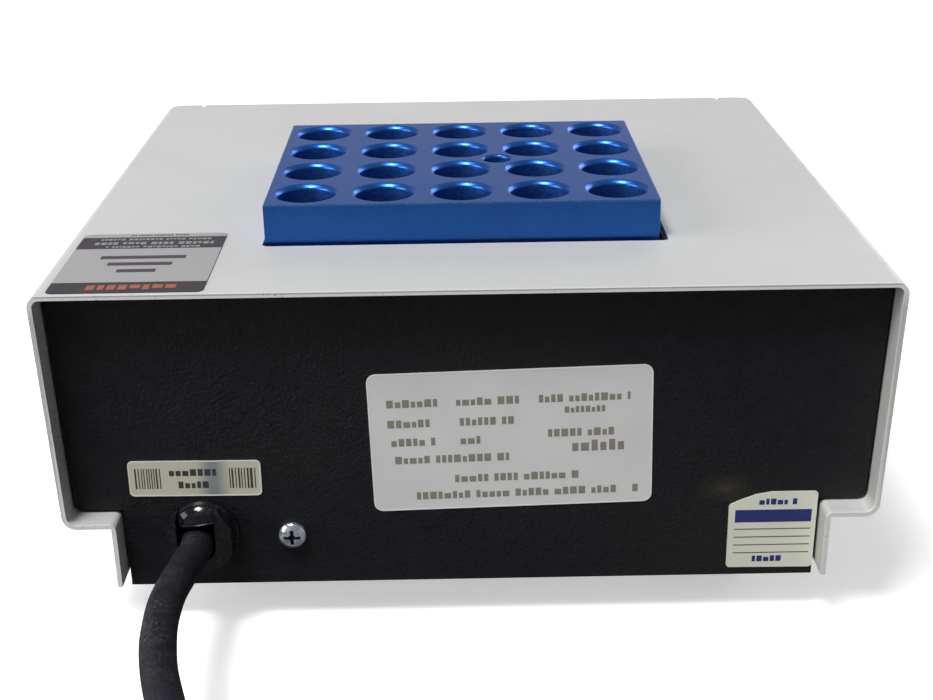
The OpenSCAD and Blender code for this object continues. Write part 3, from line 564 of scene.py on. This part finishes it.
def lens_plastic():
    """Clear amber plastic."""
    look = Look("amber_lens", Roughness=0.12, Transmission_Weight=0.55, IOR=1.49)
    depth = look.spread(look.noise(1.5 * MM, 2), 0.3, 0.7)
    look.set("Base Color", look.mix(depth, (0.8, 0.2, 0.02), (0.95, 0.32, 0.04)))
    look.bump(look.noise(0.8 * MM, 1), 0.05 * MM, 0.3)
    return look.material


def felt(name, colour):
    """Pressed fibre."""
    look = Look(name, Roughness=0.95, Sheen_Weight=0.3)
    fibres = look.noise(0.4 * MM, 5, 0.7, place=look.stretch(1, 0.35, 1))
    shade = look.spread(fibres, 0.3, 0.7)
    look.set("Base Color", look.mix(shade, tuple(c * 0.8 for c in colour), colour))
    look.bump(fibres, 0.4 * MM, 0.6)
    return look.material


LOOKS = {
    "light_paint": light_paint(),
    "black_wrinkle": black_wrinkle(),
    "zinc": metal("zinc", (0.60, 0.62, 0.66), 0.22, (0.46, 0.49, 0.58), 0.3 * MM),
    "black_rubber": plastic("black_rubber", (0.018, 0.018, 0.019), 0.6, 0.6 * MM, 0.03 * MM,
                            (0.04, 0.04, 0.04)),
    "blue_anodised": blue_anodised(),
    "bare_aluminium": metal("bare_aluminium", (0.72, 0.73, 0.75), 0.3, (0.62, 0.63, 0.66), 0.3 * MM,
                            (1, 12, 1)),
    "silicone": plastic("silicone", (0.48, 0.12, 0.03), 0.55, 0.8 * MM, 0.08 * MM),
    "galvanised": metal("galvanised", (0.52, 0.54, 0.56), 0.38, (0.42, 0.44, 0.47), 1.5 * MM),
    "fibre": felt("fibre", (0.78, 0.75, 0.66)),
    "black_plastic": plastic("black_plastic", (0.016, 0.016, 0.017), 0.38, 0.35 * MM, 0.02 * MM,
                             (0.03, 0.03, 0.031)),
    "gloss_black": plastic("gloss_black", (0.008, 0.008, 0.01), 0.16, 0.8 * MM, 0.012 * MM),
    "red_plastic": plastic("red_plastic", (0.42, 0.012, 0.01), 0.22, 0.6 * MM, 0.01 * MM),
    "amber_lens": lens_plastic(),
    "terminal_brass": metal("terminal_brass", (0.62, 0.55, 0.38), 0.26, (0.55, 0.47, 0.3), 0.3 * MM),
    "copper": metal("copper", (0.72, 0.36, 0.22), 0.28, (0.55, 0.25, 0.16)),
    "ceramic": plastic("ceramic", (0.72, 0.69, 0.6), 0.35),
    "phenolic": plastic("phenolic", (0.12, 0.07, 0.04), 0.4),
    "overlay_print": printed_film("overlay_print", (0.012, 0.018, 0.04), 0.36),
    "white_wire": plastic("white_wire", (0.68, 0.67, 0.62), 0.35),
    "green_wire": plastic("green_wire", (0.03, 0.22, 0.05), 0.35),
    "white_film": printed_film("white_film", (0.87, 0.88, 0.865)),
    "silver_film": foil(),
    "dark_film": printed_film("dark_film", (0.045, 0.034, 0.046), 0.38, 0.12),
}

RELIEF_LOOK = relief_nylon()
# Nodes that look different from the rest of their material slot
OWN_LOOKS = {
    "inspection_sticker": printed_film("cream_film", (0.95, 0.95, 0.82)),
    "ground_screw": screw_zinc(),
    "strain_relief": RELIEF_LOOK,
    "strain_relief_wedge": RELIEF_LOOK,
}

# Width of the rounding along a node's sharp edges
PLAIN_EDGE_MM = 0.1
SOFT_EDGES_MM = {
    "cover": 0.22,
    "tube_block": 0.45,
    "strain_relief": 0.75,
    "strain_relief_wedge": 0.3,
    "plug_body": 0.5,
    "control_knob": 0.3,
    "power_rocker": 0.3,
    "range_rocker": 0.3,
    "power_switch_body": 0.3,
    "range_switch_body": 0.3,
    "feet": 0.4,
    "ground_screw": 0.15,
    "cover_screws": 0.12,
    "pilot_lamp_body": 0.25,
    "plug_blades": 0.2,
    "plug_ground_pin": 0.6,
    "chassis": 0.15,
    "heater_plate": 0.3,
    "block_well": 0.15,
    "surface_sticker": 0,
    "inspection_sticker": 0,
    "rating_plate": 0,
    "certification_label": 0,
}


def dress_nodes():
    """Gives each CAD node its material and soft edges."""
    slots = {part["node"]: part["material_slot"] for part in frame["record"]["subparts"]}
    for name, made in nodes.items():
        made.data.materials.clear()
        made.data.materials.append(OWN_LOOKS.get(name, LOOKS[slots[name]]))
        soften(made, SOFT_EDGES_MM.get(name, PLAIN_EDGE_MM) * MM)


dress_nodes()


# ---- cord ----


# Corners of one ring of the CAD cord
CAD_TUBE_SIDES = 16


def centreline(node, end):
    """Middles of the rings of a CAD tube, starting from the end nearest to a point."""
    mesh = nodes[node].data
    index_of = {}
    for vertex in mesh.vertices:
        index_of.setdefault(tuple(round(c, 6) for c in vertex.co), len(index_of))
    welded = [Vector(key) for key in index_of]
    number = [index_of[tuple(round(c, 6) for c in vertex.co)] for vertex in mesh.vertices]
    beside = [set() for _ in welded]
    for polygon in mesh.polygons:
        corners = [number[v] for v in polygon.vertices]
        for a in corners:
            beside[a].update(corners)
    nearest = sorted(range(len(welded)), key=lambda k: (welded[k] - end).length)
    layer, seen, middles = set(nearest[:CAD_TUBE_SIDES]), set(), []
    while layer:
        middles.append(sum((welded[k] for k in layer), Vector()) / len(layer))
        seen |= layer
        layer = set().union(*(beside[k] for k in layer)) - seen
    return middles


def sweep(shape, path, radius_at, sides):
    """Closed round tube along a path, with parallel-carried rings."""
    normal = (path[1] - path[0]).orthogonal().normalized()
    rings = []
    for k, point in enumerate(path):
        along = (path[min(k + 1, len(path) - 1)] - path[max(k - 1, 0)]).normalized()
        normal = (normal - along * normal.dot(along)).normalized()
        side = along.cross(normal)
        rings.append([
            shape.verts.new(point + radius_at(k, turn) * (math.cos(turn) * normal + math.sin(turn) * side))
            for turn in (math.tau * j / sides for j in range(sides))
        ])
    for low, high in zip(rings, rings[1:]):
        join_rows(shape, low, high)
    for face in shape.faces:
        face.smooth = True
    shape.faces.new(rings[0][::-1])
    shape.faces.new(rings[-1])


def smooth_path(points, steps):
    """Catmull-Rom curve through points."""
    path = []
    last = len(points) - 1
    for k in range(last):
        a, b = points[max(k - 1, 0)], points[k]
        c, d = points[k + 1], points[min(k + 2, last)]
        for step in range(steps):
            t = step / steps
            path.append(0.5 * (2 * b + (c - a) * t + (2 * a - 5 * b + 4 * c - d) * t * t
                               + (3 * b - a - 3 * c + d) * t ** 3))
    return path + [points[-1]]


def power_cord():
    """Smooth, slightly uneven jacket along the CAD cord."""
    low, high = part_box("strain_relief")
    inner_end = (low + high) / 2
    inner_end.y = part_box("power_cord")[0].y
    path = smooth_path(centreline("power_cord", inner_end), 3)
    cord_radius = 3.75 * MM

    def radius_at(k, turn):
        swell = 1 + 0.008 * math.sin(k * 0.37) + 0.006 * math.sin(k * 0.11 + 2)
        return cord_radius * swell * (1 - 0.012 * math.cos(2 * turn + k * 0.02))

    mesh = mesh_of("cord_jacket", lambda shape: sweep(shape, path, radius_at, 36))
    cord = piece("cord_jacket", mesh, cord_rubber(), "housing")
    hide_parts("power_cord")


power_cord()


def wedge_lip():
    """Rounded bead along the wedge's lower front edge."""
    mesh = nodes["strain_relief_wedge"].data
    front = [v.co for v in mesh.vertices if v.co.y > panel_y + 0.5 * MM]
    middle = sum(v.x for v in front) / len(front)
    left = min((v for v in front if v.x <= middle), key=lambda v: v.z)
    right = min((v for v in front if v.x > middle), key=lambda v: v.z)
    slope = (right.z - left.z) / (right.x - left.x)
    low = [v for v in front if abs(v.z - left.z - slope * (v.x - left.x)) < 0.02 * MM]
    edge = {}
    for v in low:
        key = round(v.x / MM, 1)
        if key not in edge or v.y > edge[key].y:
            edge[key] = v.copy()
    lift = Vector((0, -0.1 * MM, 0.12 * MM))
    path = smooth_path([edge[key] + lift for key in sorted(edge)], 3)
    bead_radius = 0.26 * MM
    lip = mesh_of("wedge_lip", lambda shape: sweep(shape, path, lambda k, turn: bead_radius, 14))
    piece("wedge_lip", lip, RELIEF_LOOK, "housing")


wedge_lip()


# ---- printed marks ----


INK_HEIGHT = 0.03 * MM
PAINT_HEIGHT = 0.05 * MM


def word_blocks(rng, x, y, width, height):
    """Outlines of small plain blocks that fill a length the way words would, without letters."""
    made = []
    at = x
    in_word = rng.randint(4, 8)
    while at < x + width - 0.3 * height:
        block = height * rng.choice((0.5, 0.65, 0.8))
        block = min(block, x + width - at)
        drop = height * rng.choice((0, 0, 0.25))
        made.append(rectangle(at + block / 2, y - drop / 2, block, height - drop))
        in_word -= 1
        at += block + height * (0.22 if in_word else 0.75)
        in_word = in_word or rng.randint(4, 8)
    return made


def print_on(name, matrix, outlines, colour_look, body="housing", height=INK_HEIGHT):
    """One piece of ink made of thin closed slabs on a plane."""
    def build(shape):
        for outline in outlines:
            slab(shape, outline, 0, height)
    return piece(name, mesh_of(name, build), colour_look, body, matrix)


def label_rim(node, matrix, width, height, corner, colour):
    """Thin bright band along the die-cut edge of a label."""
    band = 0.28 * MM
    outer = rounded_outline(width, height, corner)
    inner = rounded_outline(width - 2 * band, height - 2 * band, corner - band)

    def build(shape):
        lines = ((outer, 0), (outer, INK_HEIGHT), (inner, INK_HEIGHT), (inner, 0))
        rings = [[shape.verts.new((x, y, up)) for x, y in outline] for outline, up in lines]
        for low, high in zip(rings, rings[1:] + rings[:1]):
            join_rows(shape, low, high)

    name = node + "_rim"
    piece(name, mesh_of(name, build), ink(name, colour), "housing", matrix)


def label_size(node, matrix):
    """Width and height of a label in its own plane."""
    local = [matrix.inverted() @ vertex.co for vertex in nodes[node].data.vertices]
    across = [p.x for p in local]
    up = [p.y for p in local]
    return max(across) - min(across), max(up) - min(up)


def rating_plate_print():
    """Rows of plain blocks, laid out like a rating plate's lines."""
    rng = random.Random(11)
    matrix = label_plane("rating_plate")
    width, height = label_size("rating_plate", matrix)
    rows = (
        # shares of the plate: middle of the row from the top, its height, and spans from the left
        (0.215, 0.055, ((0.065, 0.275), (0.31, 0.53), (0.60, 0.92))),
        (0.30, 0.045, ((0.69, 0.835),)),
        (0.36, 0.055, ((0.065, 0.22), (0.32, 0.51))),
        (0.495, 0.055, ((0.075, 0.235), (0.32, 0.39))),
        (0.465, 0.055, ((0.63, 0.89),)),
        (0.565, 0.08, ((0.715, 0.91),)),
        (0.625, 0.055, ((0.085, 0.49),)),
        (0.775, 0.055, ((0.295, 0.745),)),
        (0.895, 0.055, ((0.155, 0.885), (0.93, 0.96))),
    )
    outlines = []
    for down, tall, spans in rows:
        for start, end in spans:
            outlines += word_blocks(
                rng, (start - 0.5) * width, (0.5 - down) * height, (end - start) * width, tall * height
            )
    brown = ink("brown_ink", (0.29, 0.262, 0.2), 0.4)
    print_on("rating_plate_print", matrix, outlines, brown)
    label_rim("rating_plate", matrix, width, height, 2.2 * MM, (1.0, 1.0, 0.99))


def certification_print():
    """Two rows of plain blocks between two groups of upright bars."""
    rng = random.Random(5)
    matrix = label_plane("certification_label")
    letter_height = 1.8 * MM
    outlines = word_blocks(rng, -6.0 * MM, 1.6 * MM, 11.5 * MM, letter_height)
    outlines += word_blocks(rng, -4.0 * MM, -1.7 * MM, 7.5 * MM, letter_height)
    group_at, group_half, bar_height = 11.2, 3.0, 5.4
    for side in (-1, 1):
        at = -group_half
        while at < group_half:
            width = rng.choice((0.25, 0.4, 0.6))
            middle = side * group_at + at + width / 2
            outlines.append(rectangle(middle * MM, 0, width * MM, bar_height * MM))
            at += width + rng.choice((0.3, 0.45))
    dark = ink("dark_ink", (0.045, 0.045, 0.045), 0.1)
    print_on("certification_print", matrix, outlines, dark)
    width, height = label_size("certification_label", matrix)
    label_rim("certification_label", matrix, width, height, 1.2 * MM, (0.95, 0.94, 0.84))


def inspection_print():
    """Blue band with ruled lines below it, and a short row of blocks above and below them."""
    rng = random.Random(3)
    low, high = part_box("inspection_sticker")
    centre = (low + high) / 2
    matrix = plane(Vector((centre.x, high.y, centre.z)), -X, Z)
    blue = ink("blue_ink", (0.018, 0.03, 0.2), 0.08)
    grey = ink("rule_ink", (0.16, 0.17, 0.2), 0.1)
    middle, width, letter_height, rule_pitch = 0.2 * MM, 18.5 * MM, 1.6 * MM, 2.2 * MM
    header = [rectangle(middle, 3.9 * MM, width, 3.4 * MM)]
    header += word_blocks(rng, -3.4 * MM, 7.8 * MM, 9.5 * MM, letter_height)
    header += word_blocks(rng, -4.2 * MM, -8.0 * MM, 7.6 * MM, letter_height)
    rules = [rectangle(middle, 0.3 * MM - rule_pitch * k, width, 0.28 * MM) for k in range(4)]
    print_on("inspection_header", matrix, header, blue)
    print_on("inspection_rules", matrix, rules, grey)


def surface_print():
    """Pale field and edge strip between dark bands, with plain bars and rows of blocks."""
    rng = random.Random(7)
    low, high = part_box("surface_sticker")
    centre = (low + high) / 2
    matrix = plane(Vector((centre.x, centre.y, high.z)), X, Y)
    half = (high.y - low.y) / 2
    near_band, far_band, edge_strip = 6.6 * MM, 8.5 * MM, 2.6 * MM
    field_low, field_high = -half + edge_strip + far_band, half - near_band
    middle = (field_low + field_high) / 2
    inset = 0.06 * MM
    reach = (high.x - low.x) / 2 - inset
    fields = [
        rectangle(0, middle, 2 * reach, field_high - field_low),
        strip_outline(reach, inset - half, edge_strip - half, 1.6 * MM),
    ]
    print_on("surface_field", matrix, fields, ink("pale_field", (0.37, 0.365, 0.37), 0.02))
    words = []
    row_left, row_length = -15, 29
    # each row: how far above the band's middle, how much shorter at each end, and its height
    for up, shorter, height in ((0.3, 0, 1.7), (-2.6, 1, 1.2), (2.9, 3, 1.2)):
        row = -half + edge_strip + far_band / 2 + up * MM
        length = row_length - 2 * shorter
        words += word_blocks(rng, (row_left + shorter) * MM, row, length * MM, height * MM)
    print_on("surface_words", matrix, words, ink("pale_ink", (0.28, 0.275, 0.28), 0.05))
    bars = []
    first_bar, bar_pitch, bar_height = middle - 5.2 * MM, 4.6 * MM, 2.1 * MM
    for k, length in enumerate((20.0, 15.0, 9.0)):
        bars.append(rectangle(0, first_bar + bar_pitch * k, length * MM, bar_height))
    bars += word_blocks(rng, -8 * MM, -half + edge_strip / 2, 14 * MM, 0.8 * MM)
    shift = Matrix.Translation((0, 0, INK_HEIGHT))
    dusk = ink("dusk_ink", (0.05, 0.038, 0.05), 0.05)
    print_on("surface_bars", matrix @ shift, bars, dusk)
    alert = word_blocks(rng, -11 * MM, half - near_band / 2, 20 * MM, 2.9 * MM)
    print_on("surface_alert", matrix, alert, ink("orange_ink", (0.36, 0.105, 0.055), 0.05))


def strip_outline(reach, low, high, corner):
    """Outline of a strip whose two lower corners are round."""
    steps = 6
    outline = []
    for side, quarter in ((-1, range(steps, -1, -1)), (1, range(steps + 1))):
        for k in quarter:
            turn = math.pi / 2 * k / steps
            across = reach - corner + corner * math.sin(turn)
            outline.append((side * across, low + corner - corner * math.cos(turn)))
    return outline + [(reach, high), (-reach, high)]


rating_plate_print()
certification_print()
inspection_print()
surface_print()


# ---- control face ----


# The dial is numbered from 0 to this, with ticks between the numbers
NUMBERS = 10
TICKS_PER_NUMBER = 5
# Height of the middle of a rocker's hollow face above its axis
ROCKER_VALLEY = 2.2 * MM


def overlay_plane():
    """Plane of the control face's printed film, centred on the film."""
    mesh = nodes["front_overlay"].data
    corners = [vertex.co for vertex in mesh.vertices]
    out = max(corner.dot(face_out) for corner in corners)
    up = [corner.dot(face_up) for corner in corners]
    middle_up = (min(up) + max(up)) / 2
    across = [corner.x for corner in corners]
    origin = face_out * out + face_up * middle_up + X * (min(across) + max(across)) / 2
    size = (max(across) - min(across), max(up) - min(up))
    return plane(origin, X, face_up), size


def dial_print():
    """Ticks and numbers round the knob, and a border round the film."""
    matrix, size = overlay_plane()
    pale = ink("dial_ink", (0.72, 0.73, 0.74), 0.05)
    centre = matrix.inverted() @ Vector(knob_joint["pos_m"])
    span = knob_joint["range_deg"][1] - knob_joint["range_deg"][0]
    start = 90 + span / 2
    knob_radius = (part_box("control_knob")[1].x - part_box("control_knob")[0].x) / 2

    def ticks(shape):
        steps = NUMBERS * TICKS_PER_NUMBER
        for k in range(steps + 1):
            turn = math.radians(start - span * k / steps)
            long = k % TICKS_PER_NUMBER == 0
            inner = knob_radius + 1.2 * MM
            outer = inner + (2.2 if long else 1.2) * MM
            half = (0.22 if long else 0.14) * MM
            along = Vector((math.cos(turn), math.sin(turn)))
            side = Vector((-along.y, along.x)) * half
            middle = Vector((centre.x, centre.y))
            outline = [middle + along * inner - side, middle + along * outer - side,
                       middle + along * outer + side, middle + along * inner + side]
            slab(shape, [tuple(p) for p in outline], 0, INK_HEIGHT)

    piece("dial_ticks", mesh_of("dial_ticks", ticks), pale, "housing", matrix)
    number_radius = knob_radius + 5.6 * MM
    for k in range(NUMBERS + 1):
        turn = math.radians(start - span * k / NUMBERS)
        at = Vector((centre.x, centre.y, 0)) + number_radius * Vector((math.cos(turn), math.sin(turn), 0))
        number_mark(f"dial_number_{k}", str(k), matrix @ Matrix.Translation(at), 3.2 * MM, pale)

    inset = 1.6 * MM
    width, height = size[0] - 2 * inset, size[1] - 2 * inset
    line = 0.35 * MM
    border = [
        rectangle(0, height / 2 - line / 2, width, line),
        rectangle(0, -height / 2 + line / 2, width, line),
        rectangle(-width / 2 + line / 2, 0, line, height - 2 * line),
        rectangle(width / 2 - line / 2, 0, line, height - 2 * line),
    ]
    print_on("overlay_border", matrix, border, pale)


def number_mark(name, text, matrix, size, look):
    """A printed number, centred on a plane."""
    curve = bpy.data.curves.new(name, "FONT")
    curve.body = text
    curve.size = size
    curve.align_x = "CENTER"
    curve.align_y = "CENTER"
    curve.extrude = INK_HEIGHT / 2
    curve.resolution_u = 4
    made = bpy.data.objects.new(name, curve)
    bpy.context.scene.collection.objects.link(made)
    bpy.context.view_layer.update()
    mesh = bpy.data.meshes.new_from_object(made)
    bpy.data.objects.remove(made)
    mesh.name = name
    mesh.transform(Matrix.Translation((0, 0, INK_HEIGHT / 2)))
    piece(name, mesh, look, "housing", matrix)


def knob_line():
    """White line across the top of the knob's grip, towards its pointer."""
    top = max((knob_plane.inverted() @ vertex.co).z for vertex in nodes["control_knob"].data.vertices)
    turn = math.radians(90 + (knob_joint["range_deg"][1] - knob_joint["range_deg"][0]) / 2)
    matrix = knob_plane @ Matrix.Rotation(turn, 4, "Z") @ Matrix.Translation((0, 0, top))
    line = [rectangle(6.2 * MM, 0, 6.6 * MM, 1.1 * MM)]
    white = ink("line_paint", (0.8, 0.8, 0.78), 0.03)
    print_on("knob_line", matrix, line, white, "temperature_control", PAINT_HEIGHT)


def rocker_marks(joint_name, body, upper, lower):
    """Raised marks on the two halves of a rocker, draped over its hollow face."""
    joint = joints[joint_name]
    node = frame["record"]["behaviour"]["bodies"][body][0]
    rest_tilt = Matrix.Rotation(math.radians((joint["range_deg"][1] - joint["range_deg"][0]) / 2), 4, "X")
    matrix = plane(Vector(joint["pos_m"]), X, face_up) @ rest_tilt
    local = [matrix.inverted() @ vertex.co for vertex in nodes[node].data.vertices]
    reach = max(p.y for p in local)
    rim = max(p.z for p in local)

    def drape(x, y, lift):
        rise = (rim - ROCKER_VALLEY) * min(1, (y / reach) ** 2)
        return Vector((x, y, ROCKER_VALLEY + rise + lift))

    def build(shape):
        for kind, y in ((upper, 0.55 * reach), (lower, -0.55 * reach)):
            mark(shape, kind, y, drape)

    white = ink(f"{body}_paint", (0.78, 0.78, 0.76), 0.03)
    piece(f"{body}_marks", mesh_of(f"{body}_marks", build), white, body, matrix)


def mark(shape, kind, y, drape):
    """A number of bars, or a ring, as thin closed strips."""
    if kind == "ring":
        ring(shape, y, 1.35 * MM, 1.0 * MM, drape)
        return
    bar_pitch = 1.4 * MM
    for k in range(kind):
        bar(shape, (k - (kind - 1) / 2) * bar_pitch, y, 0.42 * MM, 2.6 * MM, drape)


def bar(shape, x, y, width, length, drape):
    steps = 6
    left, right = x - width / 2, x + width / 2
    rows = []
    for k in range(steps + 1):
        at = y - length / 2 + length * k / steps
        corners = ((left, 0), (right, 0), (right, PAINT_HEIGHT), (left, PAINT_HEIGHT))
        rows.append([shape.verts.new(drape(across, at, lift)) for across, lift in corners])
    for low, high in zip(rows, rows[1:]):
        join_rows(shape, low, high)
    shape.faces.new(rows[0][::-1])
    shape.faces.new(rows[-1])


def ring(shape, y, outer, inner, drape):
    steps = 28
    rows = []
    for k in range(steps):
        turn = math.tau * k / steps
        corners = ((outer, 0), (outer, PAINT_HEIGHT), (inner, PAINT_HEIGHT), (inner, 0))
        rows.append([shape.verts.new(drape(radius * math.cos(turn), y + radius * math.sin(turn), lift))
                     for radius, lift in corners])
    for low, high in zip(rows, rows[1:] + rows[:1]):
        join_rows(shape, low, high)


dial_print()
knob_line()
rocker_marks("power_rocker_tilt", "power_switch", 1, "ring")
rocker_marks("range_rocker_tilt", "range_switch", 2, 1)


# ---- studio ----


# Reflectance of the bench to everything but the camera
FLOOR_BOUNCE = (0.22, 0.22, 0.22)
# Glow of the bench to the camera beside the object, and where that starts and stops growing to 1
FLOOR_GLOW = 0.5
FLOOR_GLOW_FROM, FLOOR_GLOW_TO = 0.4, 1.2
# Strength of the room in mirror-like reflections from the -Y side to the +Y side, and elsewhere
ROOM_MIRRORED = (0.6, 0.2)
ROOM_AMBIENT = 0.08
# The lights are aimed at the middle of the case
LIT_POINT = Vector((0, 0.02, 0.06))

# Camera: how far it stands beside the middle, behind the rear edge and above the top, and its turns
CAMERA_SIDE = 3.364 * MM
CAMERA_BEHIND = 293.281 * MM
CAMERA_ABOVE = 111.667 * MM
CAMERA_PITCH = math.radians(23.260)
CAMERA_YAW = math.radians(0.5146)
CAMERA_ROLL = math.radians(0.7310)
CAMERA_LENS = 55.005
CAMERA_SENSOR = 36


def floor():
    """Pale bench, near white to the camera, that bounces little light up onto the object."""
    mesh = bpy.data.meshes.new("floor")
    side = 24.0
    corners = [(x, y, 0) for x, y in rectangle(0, 0, side, side)]
    mesh.from_pydata(corners, [], [(0, 1, 2, 3)])
    made = bpy.data.objects.new("floor", mesh)
    bpy.context.scene.collection.objects.link(made)
    look = Look("floor_paint", Roughness=0.9, Specular_IOR_Level=0.1)
    seen = look.tree.nodes.new("ShaderNodeLightPath").outputs["Is Camera Ray"]
    away = look.tree.nodes.new("ShaderNodeVectorMath")
    away.operation = "LENGTH"
    look.tree.links.new(look.place, away.inputs[0])
    glow = look.spread(away.outputs["Value"], FLOOR_GLOW_FROM, FLOOR_GLOW_TO, FLOOR_GLOW, 1)
    pale = look.mix(look.noise(0.3, 2), (0.90, 0.90, 0.90), (0.92, 0.92, 0.92))
    look.set("Base Color", look.mix(seen, FLOOR_BOUNCE, pale))
    look.set("Emission Color", (1, 1, 1))
    look.set("Emission Strength", look.times(seen, glow))
    mesh.materials.append(look.material)


def area_light(name, towards, distance, size, power):
    """Square soft light in a direction from the object, aimed at it."""
    light = bpy.data.lights.new(name, "AREA")
    light.size = size
    light.energy = power
    made = bpy.data.objects.new(name, light)
    bpy.context.scene.collection.objects.link(made)
    direction = Vector(towards).normalized()
    made.location = LIT_POINT + direction * distance
    made.rotation_mode = "QUATERNION"
    made.rotation_quaternion = direction.to_track_quat("Z", "Y")


def surroundings():
    """White to the camera, and a soft room to everything else."""
    world = bpy.data.worlds.new("room")
    bpy.context.scene.world = world
    world.use_nodes = True
    tree = world.node_tree
    tree.nodes.clear()
    direction = tree.nodes.new("ShaderNodeTexCoord").outputs["Generated"]
    split = tree.nodes.new("ShaderNodeSeparateXYZ")
    tree.links.new(direction, split.inputs[0])
    mirrored = tree.nodes.new("ShaderNodeMapRange")
    for socket, value in zip(mirrored.inputs[1:5], (-1, 1, *ROOM_MIRRORED)):
        socket.default_value = value
    tree.links.new(split.outputs[1], mirrored.inputs[0])
    path = tree.nodes.new("ShaderNodeLightPath")
    level = tree.nodes.new("ShaderNodeMix")
    level.inputs[2].default_value = ROOM_AMBIENT
    tree.links.new(path.outputs["Is Glossy Ray"], level.inputs[0])
    tree.links.new(mirrored.outputs[0], level.inputs[3])
    room = tree.nodes.new("ShaderNodeBackground")
    tree.links.new(level.outputs[0], room.inputs["Strength"])
    room.inputs["Color"].default_value = (0.97, 0.985, 1.0, 1)
    white = tree.nodes.new("ShaderNodeBackground")
    white.inputs["Color"].default_value = (1, 1, 1, 1)
    choose = tree.nodes.new("ShaderNodeMixShader")
    tree.links.new(path.outputs["Is Camera Ray"], choose.inputs[0])
    tree.links.new(room.outputs[0], choose.inputs[1])
    tree.links.new(white.outputs[0], choose.inputs[2])
    output = tree.nodes.new("ShaderNodeOutputWorld")
    tree.links.new(choose.outputs[0], output.inputs[0])


def camera():
    """Low view from behind, slightly above the cover."""
    data = bpy.data.cameras.new("camera")
    data.lens = CAMERA_LENS
    data.sensor_width = CAMERA_SENSOR
    data.clip_start = 0.01
    data.clip_end = 50
    made = bpy.data.objects.new("camera", data)
    bpy.context.scene.collection.objects.link(made)
    turn = (Matrix.Rotation(math.pi - CAMERA_YAW, 4, "Z")
            @ Matrix.Rotation(math.pi / 2 - CAMERA_PITCH, 4, "X")
            @ Matrix.Rotation(-CAMERA_ROLL, 4, "Z"))
    place = Vector((CAMERA_SIDE, rear_y + CAMERA_BEHIND, top_z + CAMERA_ABOVE))
    made.matrix_world = Matrix.Translation(place) @ turn
    bpy.context.scene.camera = made


floor()
surroundings()
area_light("lamp", (0.253, 0.344, 0.904), 2.2, 0.6, 39.5)
area_light("side", (1.0, 0.3, 0.35), 2.5, 1.6, 36.0)
area_light("front", (-0.9, -1.0, 0.3), 2.0, 1.2, 13.0)
camera()
bpy.context.scene.view_settings.view_transform = "Standard"
